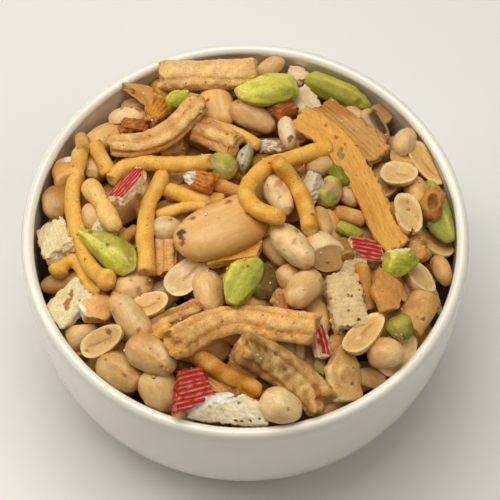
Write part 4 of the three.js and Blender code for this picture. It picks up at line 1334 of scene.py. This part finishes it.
RED_CRACKERS = [
    lain((129, 186.5), -53, 12.6, 6.8, 5, thick=2.8, lift=0.6, roll=-0.6,
         planes=[(0.8, -0.6, 0, 0.95)]),
    lain((365, 250.5), 0, 9.4, 6.4, 1, thick=2.8, lift=1.4, roll=0.2,
         planes=[(0.8, 0.6, 0, 0.9), (-0.8, -0.6, 0, 0.85)]),
    lain((188.5, 392), -20, 11, 11.4, 3, thick=3, lift=-0.8, roll=0.4, dyed=1,
         planes=[(-0.925, 0.38, 0, 0.58), (1, 0.08, 0, 0.95), (0.21, -0.98, 0, 0.67)]),
    lain((320, 341), -105, 9, 4.6, 3, thick=3.4, half_red=True),
    lain((281, 301), 80, 5.4, 4.4, 1, thick=3.4, tint="C8965A", half_red=True, faint=0.35),
]


def cracker_block(piece, run, fine, seed, ribs_along, pitch, deep, power=7.0):
    """A block of cracker with ribs on its faces, and how high each point is on its rib."""
    form, half, rise = bar_form(piece, run, fine, 0.3, 80, power=power, nose=0.35)
    break_along(form, piece.get("planes", ()))
    side, high = form.y.copy(), form.z.copy()
    worn = 0.4 * form.lumps(3, seed)
    at = side * half if ribs_along else form.x
    rib = np.cos(at * 2 * math.pi / pitch + worn)
    face = step(abs(high), 0.75, 0.95)
    form.z = high * rise + 0.2 * rise * (1 - side**2) + deep * rib * face * np.sign(high)
    form.y = side * half * (1 - 0.08 * form.unit**2)
    if not ribs_along:
        form.y += 1.6 * deep * rib * step(abs(side), 0.8, 1) * np.sign(side)
    ragged = 0.4 * form.lumps(1.8, seed + 1) + 0.25 * form.lumps(0.8, seed + 2)
    form.y += ragged * step(abs(side), 0.85, 1) * 0.6
    form.x += ragged * (form.end < 0.5)
    return form, rise, side, high, rib, face


def red_cracker(piece, run, fine, seed):
    form, _, side, high, rib, face = cracker_block(piece, run, fine, seed, True, 1.25, 0.13)
    form.tone(piece.get("tint", CRACKER_CREAM))
    form.tone(CRACKER_TAN_AND_SHADE, 0.4 * step(form.lumps(1.2, seed + 3), 0, 1))
    dyed = piece.get("dyed", 0)
    red = np.maximum(face, step(0.7 - abs(high), 0, 0.1) * 0.25 + dyed)
    if piece.get("half_red"):
        red = red * step(-side + 0.3 * form.lumps(1.5, seed + 4), -0.2, 0.2)
    red = red * step(form.end + dyed + 0.3 * form.lumps(1, seed + 5), 0.15, 0.5)
    red = np.minimum(1, red) * piece.get("faint", 1)
    form.tone(CRACKER_RED, red)
    # Painted shade in the valleys between the red ribs, and a painted pink highlight along their
    # crests.
    form.tone(CRACKER_RED_SHADE, 0.5 * red * step(-rib, 0.4, 1))
    ridge = step(rib + 0.25 * form.lumps(1.2, seed + 6), 0.5, 1.1)
    form.tone(CRACKER_RED_HIGHLIGHT, 0.75 * red * ridge)
    form.crumb = 1 - face
    return form


cracker_skin = toasted("puffed_rice", "6B4A2A", 0.12, grain=2.8, depth=0.16, gloss=0.6,
                       mottle=0.45, pits=0.8, speck_size=0.15)
tip_in("red_rice_crackers", RED_CRACKERS, red_cracker, [(0.06, 1.2), (0.05, 0.6)], cracker_skin,
       flat=True)

CREAM_CRACKERS = [
    lain((56, 241), 70, 12.6, 9, 2, thick=3.6, pitch=0.8, spots=[(1.0, 3.0, 0.5, CRACKER_CHAR)]),
    lain((70, 304), -35, 11.6, 9.4, 2, thick=3, roll=0.1, pitch=1.4, deep=0.03,
         spots=[(5.7, -0.2, 1.0, CRACKER_BURN), (7.0, 0.3, 0.9, CRACKER_BURN),
                (8.3, 1.2, 0.9, CRACKER_BURN), (4.7, -1.2, 0.8, CRACKER_BURN),
                (8.6, -2.2, 0.35, CRACKER_BURN)]),
    lain((346, 303), 80, 14.6, 9.6, 3, thick=4.4, tint="E0C58E", pitch=1.45, cross=True, deep=0.07,
         spots=[(2.6, 4.0, 0.6, CRACKER_CHAR), (13.2, 1.8, 0.6, CRACKER_CHAR),
                (6.4, 1.0, 0.45, "6E6628"), (6.2, 0.2, 0.4, "6E6628"),
                (4.8, 3.6, 0.3, CRACKER_CHAR), (10.4, -0.6, 0.3, CRACKER_CHAR)]),
    lain((229, 415), 6, 20.4, 8.2, 2, thick=3.6, lift=0.6, tint="F4E4BC", pitch=1.3, torn=True,
         planes=[(-0.5, 0.9, 0, 0.82), (0.75, 0.66, 0, 0.9)], deep=0.03,
         spots=[(12.2, -2.6, 0.45, CRACKER_CHAR), (13.6, -2.6, 0.4, CRACKER_CHAR),
                (15.8, -2.2, 0.4, CRACKER_CHAR), (18.0, -1.4, 0.4, CRACKER_CHAR),
                (12.4, 2.0, 0.35, CRACKER_CHAR)]),
    lain((304, 103), 60, 10, 8, 1, thick=3, lift=0.6, tint="E4D0A6", pitch=1.4, deep=0.03),
    lain((300, 70), 40, 5.6, 4.8, 2, thick=2.6, lift=1.4, tint="ECD6AC", pitch=1.4, deep=0.03),
    lain((352, 268), 0, 6.6, 5.6, 1, thick=3, tint="DEC79B", pitch=1.2, deep=0.03),
    lain((311, 189), -62, 8.6, 4.6, 2, thick=4, tint="D9C8AC", pitch=1.2, deep=0.03),
    lain((104, 230), 20, 6, 4.4, 1, thick=2.6, lift=1, pitch=1.2, deep=0.03),
]


def cream_cracker(piece, run, fine, seed):
    deep = piece.get("deep", 0.1)
    form, rise, side, high, rib, face = cracker_block(
        piece, run, fine, seed, not piece.get("cross"), piece["pitch"], deep
    )
    form.tone(piece.get("tint", CRACKER_CREAM))
    # Painted shade in the valleys between the ribs, over random darker tan patches.
    form.tone(CRACKER_TAN_AND_SHADE, 0.4 * step(-rib, 0.2, 1) * (deep > 0.05))
    form.tone(CRACKER_TAN_AND_SHADE, 0.35 * step(form.lumps(4, seed + 3), 0, 1))
    form.crumb = 1 - face
    if piece.get("torn"):
        along = 1.0 - 2.7 * form.x / run
        torn = step(side + along + 0.2 * form.lumps(2, seed), 0.2, 0.45)
        form.z -= 0.15 * rise * torn * (high > 0)
        form.z += 0.35 * torn * form.lumps(1, seed + 5)
        form.tone(CRACKER_TORN, torn)
        form.crumb = np.maximum(form.crumb, torn)
    form.spots(piece, seed, 0.95)
    return form


tip_in("cream_rice_crackers", CREAM_CRACKERS, cream_cracker, [(0.07, 1.4), (0.05, 0.6)],
       cracker_skin, flat=True)

# ---- tan chips ----------------------------------------------------------------------------
# Little baked chips and broken corners of wheat and maize cracker, tan to brown, most of them
# flat with worn edges. One is frosted with starch and has a blister in its middle.

CHIP_EDGE = "E2B46C"
CHIP_BROWN_AND_GROOVE_SHADE = "A86C2C"
CHIP_FROST = "E2C28C"

TAN_CHIPS = [
    lain((138, 95), 0, 8.8, 10, 2, thick=2.6, lift=1.4, tint="D79C58",
         planes=[(-0.74, -0.67, 0, 0.12), (1, -0.05, 0, 0.92), (0.1, 1, 0, 0.85)]),
    lain((63, 173), 72, 9.6, 8.4, 2, thick=5, tint="DCA354", white=0.4),
    lain((97, 310), -35, 8.6, 7.6, 2, thick=4, tint="E9B66C", white=0.2,
         planes=[(0.8, 0.7, 0, 0.9), (-0.7, -0.8, 0, 0.8)]),
    lain((237, 256), -23, 15.6, 6.4, 2, thick=2.6, tint="DCA040",
         planes=[(-0.55, -0.85, 0, 0.5), (0.9, -0.4, 0, 0.9)]),
    lain((387, 290), 70, 12.2, 8.6, 3, thick=3.6, tint="C88C42", grooved=True,
         planes=[(-0.8, 0.62, 0, 0.62), (-0.7, -0.7, 0, 0.8), (0.75, 0.66, 0, 0.8)]),
    lain((417, 312), -55, 10.6, 8.2, 2, thick=6, tint="DDA65E",
         spots=[(3.4, -1.6, 0.4, "4A3A28"), (3.0, -1.2, 0.3, "4A3A28")]),
    lain((345, 377), 84, 14, 9.8, 3, thick=3.4, tint="D3A35C", frosted=True,
         spots=[(9.8, 1.0, 0.55, "75603E")], planes=[(-0.75, -0.7, 0, 0.84), (-0.75, 0.7, 0, 0.9)]),
    lain((372, 378), 0, 7, 5.6, 0, thick=3, tint="BC9660"),
    lain((402, 160), 0, 8, 6, 0, thick=3, tint="CCA056"),
    lain((345, 250), 72, 6.6, 3.6, 1, thick=3, tint="A2712F"),
    lain((381, 116), 50, 6, 5, 1, thick=3.4, tint="A87A40"),
    lain((172, 148), -20, 7, 4, 1, thick=3, tint="C49250"),
]


def tan_chip(piece, run, fine, seed):
    form, half, rise = bar_form(piece, run, fine, 0.35, 68, power=4.0, nose=0.5)
    break_along(form, piece.get("planes", ()))
    side, high = form.y.copy(), form.z.copy()
    form.z = high * rise + 0.25 * rise * (1 - side**2)
    form.y = side * half * (1 - 0.1 * form.unit**2)
    worn = form.lumps(3.5, seed)
    form.y += 0.25 * worn * step(abs(side), 0.7, 1)
    form.x += 0.4 * worn * (form.end < 0.8)
    rim = np.maximum(step(abs(side), 0.8, 1), step(0.7 - form.end, 0, 0.4))
    top = high > 0
    form.tone(piece["tint"])
    form.tone(CHIP_BROWN_AND_GROOVE_SHADE, 0.4 * step(form.lumps(4, seed + 1), 0, 1.2))
    form.tone(CHIP_EDGE, 0.4 * rim * top)
    if piece.get("grooved"):
        grooves = np.cos(side * half * 2 * math.pi / 0.8 + form.unit + 0.6 * worn)
        form.z += 0.05 * grooves * top
        # Painted shade in the grooves.
        form.tone(CHIP_BROWN_AND_GROOVE_SHADE, 0.4 * step(-grooves, 0.2, 1) * top)
    if piece.get("white"):
        edge = step(piece["white"] - form.x / run + 0.1 * worn, 0, 0.1) * step(side, -0.2, 0.3)
        form.tone(CRACKER_TORN, edge)
    if piece.get("frosted"):
        out = np.hypot((form.x - run * 0.58) / 2.4, form.y / 2.4)
        form.tone(CHIP_FROST, 0.8 * step(rim + 0.3 * worn, 0.2, 0.8) * top)
        form.z += 0.18 * bell(out - 1, 0.3) * top
        form.tone(CHIP_FROST, 0.5 * bell(out - 1.15, 0.18) * top)
    form.spots(piece, seed, 0.9)
    form.crumb = rim * 0.6
    return form


tip_in("tan_chips", TAN_CHIPS, tan_chip, [(0.06, 1.8), (0.04, 0.7)], flat=True,
       material=toasted("baked_wheat", "84491E", 0.22, grain=2.4, depth=0.12, gloss=0.54,
                        mottle=0.45, speck_size=0.18, dust=0.2))

# ---- amber crackers -----------------------------------------------------------------------
# Bits of soy-glazed rice cracker, deep amber and shiny on top, with ribs across them and a
# white puffed inside that shows where they broke.

AMBER_DARK_AND_SHADE = "96500A"
AMBER_HIGHLIGHT = "EDB050"

AMBER_BITS = [
    lain((157, 111), -62, 9.2, 6.8, 2, thick=3, lift=1.2, tint="CE8E34", fan=0.45),
    lain((283, 108), -50, 7, 6, 2, thick=3.2, lift=1, tint="AC6226"),
    lain((135, 126), -8, 7.6, 4.6, 1, thick=3, lift=0.8, tint="A8600E"),
    lain((201, 180), 28, 9, 5.4, 2, thick=2.6, tint="C8780F", torn=-0.45),
    lain((230, 180), -25, 6, 4, 1, thick=3, tint="9C5C14"),
    lain((279, 147), -2, 10.6, 3.6, 1, thick=3, tint="A8601A", torn=-0.1, torn_tint="D8C8AE"),
    lain((244, 368), 30, 8, 6, 2, thick=5, tint="B98544"),
    lain((250, 355), 20, 7, 5, 2, thick=5, tint="BE8B4A"),
    lain((224, 390), 32, 9, 6, 1, thick=5, lift=0.8, tint="D09848"),
    lain((245, 401), 25, 9, 5, 1, thick=5, tint="A06A20"),
]


def amber_bit(piece, run, fine, seed):
    form, _, side, high, rib, _ = cracker_block(piece, run, fine, seed, True, 1.1, 0.11, power=3.0)
    form.y *= 1 + piece.get("fan", 0.2) * form.unit
    form.z += 0.3 * form.lumps(1.8, seed + 5, (0.4, 1, 1)) * (high > 0)
    form.tone(piece["tint"])
    # Painted highlight along the ribs, and painted shade in the valleys between them and at the
    # edges, over random darker patches.
    light = step(rib, 0.2, 1) * step(form.lumps(2, seed + 6), -0.3, 1)
    form.tone(AMBER_HIGHLIGHT, 0.35 * light)
    form.tone(AMBER_DARK_AND_SHADE, 0.35 * step(-rib, 0.3, 1) + 0.25 * step(abs(side), 0.7, 1))
    form.tone(AMBER_DARK_AND_SHADE, 0.4 * step(form.lumps(2.6, seed + 7), 0.2, 1.2))
    if "torn" in piece:
        ragged = 0.25 * form.lumps(1.5, seed + 3) + piece["torn"]
        torn = step(ragged - form.unit, 0, 0.15)
        form.z += 0.3 * torn * form.lumps(1, seed + 4)
        form.tone(piece.get("torn_tint", "E2DACB"), torn)
        form.crumb = torn
    return form


tip_in("amber_crackers", AMBER_BITS, amber_bit, [(0.1, 1.4), (0.06, 0.6)], flat=True,
       material=toasted("soy_glazed_cracker", "7A3C10", 0.12, grain=2.4, depth=0.12, gloss=0.36,
                        mottle=0.6, sheen=0.25))

# ---- rough fried bits ---------------------------------------------------------------------
# Rough brown knobs of fried crumb that broke off other pieces, porous all over, one of them
# curled round a hollow.

ROUGH = "BE823C"
ROUGH_SHADE = "7C4A1C"

ROUGH_BITS = [
    lain((432, 204), -75, 9.5, 6.4, 2, thick=5, hollow=True),
    lain((418, 249), 74, 7.8, 6, 2, tint="C89250"),
]


def rough_bit(piece, run, fine, seed):
    form, half, rise = egg_form(piece, run, fine, 40, 40, 2.6)
    form.y *= half
    form.z *= rise
    knobs = form.lumps(2.6, seed)
    grow = 1 + 0.12 * knobs
    form.y *= grow
    form.z *= grow
    form.tone(piece.get("tint", ROUGH))
    # Painted shade in the dips between the knobs, and further on in the hollow.
    form.tone(ROUGH_SHADE, 0.5 * step(-knobs, 0, 1))
    if piece.get("hollow"):
        out = np.hypot(form.unit / 0.6, form.y / half / 0.62)
        pit = step(1 - out, 0, 0.7) * (form.z > 0)
        form.z -= 0.9 * rise * pit
        form.tone(ROUGH_SHADE, 0.6 * pit)
    form.crumb += 0.6
    return form


tip_in("rough_fried_bits", ROUGH_BITS, rough_bit, [(0.14, 1.5), (0.08, 0.7)],
       material=toasted("fried_crumb", "6E3E1C", 0.3, grain=1.8, depth=0.2, gloss=0.58, mottle=0.6))

# ---- what lies beneath --------------------------------------------------------------------
# The heap goes on under the pieces that show: more peanuts, splits, noodles and chips, in two
# layers that cover the crumbs, drawn at random and kept just below the pieces laid on them.

UNDER_SPACING = 8.2
UNDER_LAYERS = [0.4, 5.6]
UNDER_FINE = 0.5
UNDER_SEED = 11
UNDER_STRAY = 2.4
UNDER_SLOPE = 1.5
UNDER_KINDS = [
    {"name": "whole_peanuts", "odds": 0.4, "long": (10, 14), "wide": (7, 9), "slim": 1},
    {"name": "split_peanuts", "odds": 0.26, "long": (10, 14), "wide": (6, 8), "slim": 0.55},
    {"name": "fried_noodles", "odds": 0.18, "long": (9, 18), "wide": (3.6, 4.6), "slim": 1},
    {"name": "tan_chips", "odds": 0.16, "long": (8, 12), "wide": (6, 8), "slim": 0.5},
]

draw = np.random.default_rng(UNDER_SEED)
under_pieces = []
for layer, drop in enumerate(UNDER_LAYERS):
    steps = np.arange(-RIM_RADIUS, RIM_RADIUS, UNDER_SPACING)
    for x in steps + layer * UNDER_SPACING / 2:
        for y in steps + layer * UNDER_SPACING / 2:
            x_at, y_at = (x, y) + draw.uniform(-UNDER_STRAY, UNDER_STRAY, 2)
            kind = draw.choice(UNDER_KINDS, p=[k["odds"] for k in UNDER_KINDS])
            long, wide = draw.uniform(*kind["long"]), draw.uniform(*kind["wide"])
            turn, lean, slope, jog = draw.uniform(-1, 1, 4)
            back = draw.random() < 0.5
            if math.hypot(x_at, y_at) > RIM_RADIUS - RIM_WALL - wide / 2:
                continue
            thick = wide * kind["slim"]
            way = np.array([math.cos(turn * math.pi), math.sin(turn * math.pi), 0])
            ends = [np.array([x_at, y_at, 0]) + way * share * long for share in (-0.5, 0, 0.5)]
            for share, end in zip((-0.5, 0, 0.5), ends):
                top = heap_top(end[0], end[1])
                end[2] = top - drop - thick / 2 + jog - abs(jog) + share * slope * UNDER_SLOPE
            piece = {"long": long, "wide": wide, "thick": thick, "tint": None, "back": back}
            under_pieces.append((kind["name"], piece, Bed(ends, lean * 0.5)))

# Tints of the pieces underneath, browner and darker than those on top: partly their own mixed
# colours, partly painted shade of the lower layers.
UNDER_SHADED_TINTS = {
    "whole_peanuts": ["D2A35C", "C08A44", "DCB472"],
    "split_peanuts": ["D4A862", "C0904E", "D8B478"],
    "fried_noodles": [NOODLE_BROWN, NOODLE, "A8702C"],
    "tan_chips": ["B97E3A", "A86E2E", "CC9C50", "B08E58"],
}


# Now everything is laid and joined, each kind as one piece of the scene.


def skin_normals(points, faces):
    """Outward directions at the points of a skin."""
    corners = points[faces]
    flat = np.cross(corners[:, 1] - corners[:, 0], corners[:, 2] - corners[:, 0])
    smooth = np.zeros_like(points)
    for k in range(3):
        np.add.at(smooth, faces[:, k], flat)
    return smooth / np.maximum(np.linalg.norm(smooth, axis=1, keepdims=True), 1e-12)


def join_kind(kind):
    """Makes one object of all the pieces of a kind that were laid."""
    counts = np.cumsum([0] + [len(part["points"]) for part in kind["parts"]])
    points = np.concatenate([part["points"] for part in kind["parts"]])
    faces = np.concatenate(
        [part["faces"] + first for part, first in zip(kind["parts"], counts)]
    ).astype(np.int32)
    mesh = bpy.data.meshes.new(kind["name"])
    mesh.vertices.add(len(points))
    mesh.vertices.foreach_set("co", ((points + (0, 0, RIM_Z)) * MM).ravel())
    mesh.loops.add(faces.size)
    mesh.loops.foreach_set("vertex_index", faces.ravel())
    mesh.polygons.add(len(faces))
    mesh.polygons.foreach_set("loop_start", np.arange(0, faces.size, 3))
    mesh.polygons.foreach_set("use_smooth", np.ones(len(faces), bool))
    for name, sort, field in (
        ("paint", "FLOAT_COLOR", "color"),
        ("grain", "FLOAT_VECTOR", "vector"),
    ):
        values = np.concatenate([part[name] for part in kind["parts"]])
        mesh.attributes.new(name, sort, "POINT").data.foreach_set(field, values.ravel())
    mesh.update(calc_edges=True)
    mesh.materials.append(kind["material"])
    made = bpy.data.objects.new(kind["name"], mesh)
    bpy.context.scene.collection.objects.link(made)
    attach(made, "root")
    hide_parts("bar_mix")
    return made


GRAIN_SHIFT = np.array([3.7, 7.4, 11.1])
GRAIN_CYCLE = 97
UNDER_FIRST_SEED = 1000
SEED_STEP = 31


def add_part(kind, piece, bed, fine, seed):
    """Builds one piece, carries it to its bed and adds it to its kind."""
    run = piece.get("long", bed.length)
    form = kind["form"](piece, run, fine, seed)
    points = form.points()
    slack = (bed.length - run) / 2
    grain = points + GRAIN_SHIFT * (seed % GRAIN_CYCLE)
    points = bed.carry(points + (slack, 0, 0))
    normals = skin_normals(points, form.faces)
    for height, size in kind["relief"]:
        points += normals * (height * lumps(points, size, seed + 7))[:, None]
    paint = np.concatenate([form.paint, form.crumb[:, None]], 1)
    points = keep_inside(points)
    kind["parts"].append(
        {"points": points, "faces": form.faces, "paint": paint, "grain": grain}
    )


by_name = {kind["name"]: kind for kind in kinds}
for number, (name, piece, bed) in enumerate(under_pieces):
    piece["tint"] = UNDER_SHADED_TINTS[name][number % len(UNDER_SHADED_TINTS[name])]
    add_part(by_name[name], piece, bed, UNDER_FINE, UNDER_FIRST_SEED + number)
for level in range(TOP_LEVEL + 1):
    for kind in kinds:
        for number, piece in enumerate(kind["pieces"]):
            if piece["level"] == level:
                bed = lay(piece)
                raise_ground(piece, bed)
                add_part(kind, piece, bed, 1, SEED_STEP * number + 1)
heap = [join_kind(kind) for kind in kinds]

# ---- salt and crumbs ----------------------------------------------------------------------
# Coarse salt grains and crumbs have fallen over the heap, and lie on whatever is uppermost.

SALT = "F4EFE4"
CRUMB_TINTS = ["D69A40", "C08238", "E8C080", "DDA444"]
SALT_SHADE = "E3DCCB"
SALT_COUNT = 60
SALT_SEED = 21
CRUMB_COUNT = 70
CRUMB_SEED = 22
SCATTER_EDGE = 6
DROP_FROM = 0.2

depsgraph = bpy.context.evaluated_depsgraph_get()
trees = [BVHTree.FromObject(made, depsgraph) for made in heap]


def uppermost(x, y):
    """Where a grain dropped at a place comes to lie, and the way up there."""
    hits = [tree.ray_cast(Vector((x, y, DROP_FROM)), Vector((0, 0, -1))) for tree in trees]
    hits = [hit for hit in hits if hit[0] is not None]
    return max(hits, key=lambda hit: hit[0].z)[:2] if hits else None


GRAIN_CORNERS = np.array(
    [[x, y, z] for x in (-1, 1) for y in (-1, 1) for z in (-1, 1)], float
)
GRAIN_FACES = np.array(
    [[0, 1, 3], [0, 3, 2], [4, 6, 7], [4, 7, 5], [0, 4, 5], [0, 5, 1],
     [2, 3, 7], [2, 7, 6], [0, 2, 6], [0, 6, 4], [1, 5, 7], [1, 7, 3]]
)


def scatter(kind, count, sizes, tints, seed):
    """Drops grains at random places over the heap."""
    draw = np.random.default_rng(seed)
    while len(kind["parts"]) < count:
        reach = (RIM_RADIUS - SCATTER_EDGE) * math.sqrt(draw.random())
        turn = draw.uniform(0, 2 * math.pi)
        landed = uppermost(reach * math.cos(turn) * MM, reach * math.sin(turn) * MM)
        size = draw.uniform(*sizes)
        corners = GRAIN_CORNERS * draw.uniform(0.7, 1.1, (8, 3)) * size / 2
        spin = np.linalg.qr(draw.normal(size=(3, 3)))[0]
        spin *= np.sign(np.linalg.det(spin))
        tint = colour(tints[draw.integers(len(tints))])
        if landed is None:
            continue
        place = np.array(landed[0]) / MM + np.array(landed[1]) * size * 0.3
        points = corners @ spin.T + place - (0, 0, RIM_Z)
        paint = np.tile([*tint, 0.5], (8, 1))
        kind["parts"].append(
            {"points": points, "faces": GRAIN_FACES, "paint": paint, "grain": points}
        )
    return join_kind(kind)


def salt_crystal():
    finish = Finish("salt_crystal")
    place = finish.attribute("grain", out=1)
    clear = finish.noise(place, 3)
    return finish.surface(
        Base_Color=finish.mix(solid(SALT), solid(SALT_SHADE), clear),
        Roughness=finish.ease(clear, 0.3, 0.7, 0.25, 0.45),
    )


salt = {"name": "salt_grains", "parts": [], "material": salt_crystal()}
scatter(salt, SALT_COUNT, (0.25, 0.5), [SALT], SALT_SEED)
crumbs = {
    "name": "fallen_crumbs",
    "parts": [],
    "material": toasted("loose_crumb", "6E3E1C", 0.2, grain=2.5, gloss=0.6),
}
scatter(crumbs, CRUMB_COUNT, (0.25, 0.8), CRUMB_TINTS, CRUMB_SEED)

# ---- the table and the light --------------------------------------------------------------
# A plain pale table. A large soft light hangs over the bowl, a little behind it, with a second
# one at the window on the left and a weak one in front on the right, in a dim pale studio.

TABLE_SIZE = 6.0
TABLE_PALE = "E8E7E4"
TABLE_SHADE = "E4E2DE"
AIM = Vector((0, 0, 0.05))

bpy.ops.mesh.primitive_plane_add(size=TABLE_SIZE)
floor = bpy.context.object
floor.name = "pale_table"
table_finish = Finish("pale_table_top")
table_place = table_finish.object_place()
table_cloud = table_finish.noise(table_place, 3)
floor.data.materials.append(
    table_finish.surface(
        Base_Color=table_finish.mix(solid(TABLE_PALE), solid(TABLE_SHADE), table_cloud),
        Roughness=0.8,
    )
)

LIGHTS = [
    {"name": "overhead", "place": (-0.12, 0.16, 1.0), "size": 0.7, "power": 7.4, "tint": "FFFBF4"},
    {"name": "window", "place": (-0.75, 0.20, 0.55), "size": 0.5, "power": 2.6, "tint": "FFFAF0"},
    {"name": "fill", "place": (0.50, -0.32, 0.95), "size": 0.6, "power": 2.4, "tint": "FFFBF4"},
]
for light in LIGHTS:
    place = Vector(light["place"])
    aim = (AIM - place).to_track_quat("-Z", "Y").to_euler()
    bpy.ops.object.light_add(type="AREA", location=place, rotation=aim)
    lamp = bpy.context.object
    lamp.name = light["name"]
    lamp.data.size = light["size"]
    lamp.data.energy = light["power"]
    lamp.data.color = colour(light["tint"])

STUDIO_DARK = 0.01
STUDIO_BRIGHT = 0.12
STUDIO_UP = (-0.15, 0.5, 0.85)
STUDIO_TOP = 0.8
world = bpy.data.worlds.new("studio")
bpy.context.scene.world = world
world.use_nodes = True
studio = world.node_tree
direction = studio.nodes.new("ShaderNodeTexCoord")
height = studio.nodes.new("ShaderNodeVectorMath")
height.operation = "DOT_PRODUCT"
height.inputs[1].default_value = STUDIO_UP
strength = studio.nodes.new("ShaderNodeMapRange")
strength.interpolation_type = "SMOOTHSTEP"
for key, value in ((1, 0.0), (2, STUDIO_TOP), (3, STUDIO_DARK), (4, STUDIO_BRIGHT)):
    strength.inputs[key].default_value = value
studio.links.new(direction.outputs["Generated"], height.inputs[0])
studio.links.new(height.outputs["Value"], strength.inputs[0])
studio.nodes["Background"].inputs["Color"].default_value = (1, 1, 1, 1)
studio.links.new(strength.outputs[0], studio.nodes["Background"].inputs["Strength"])
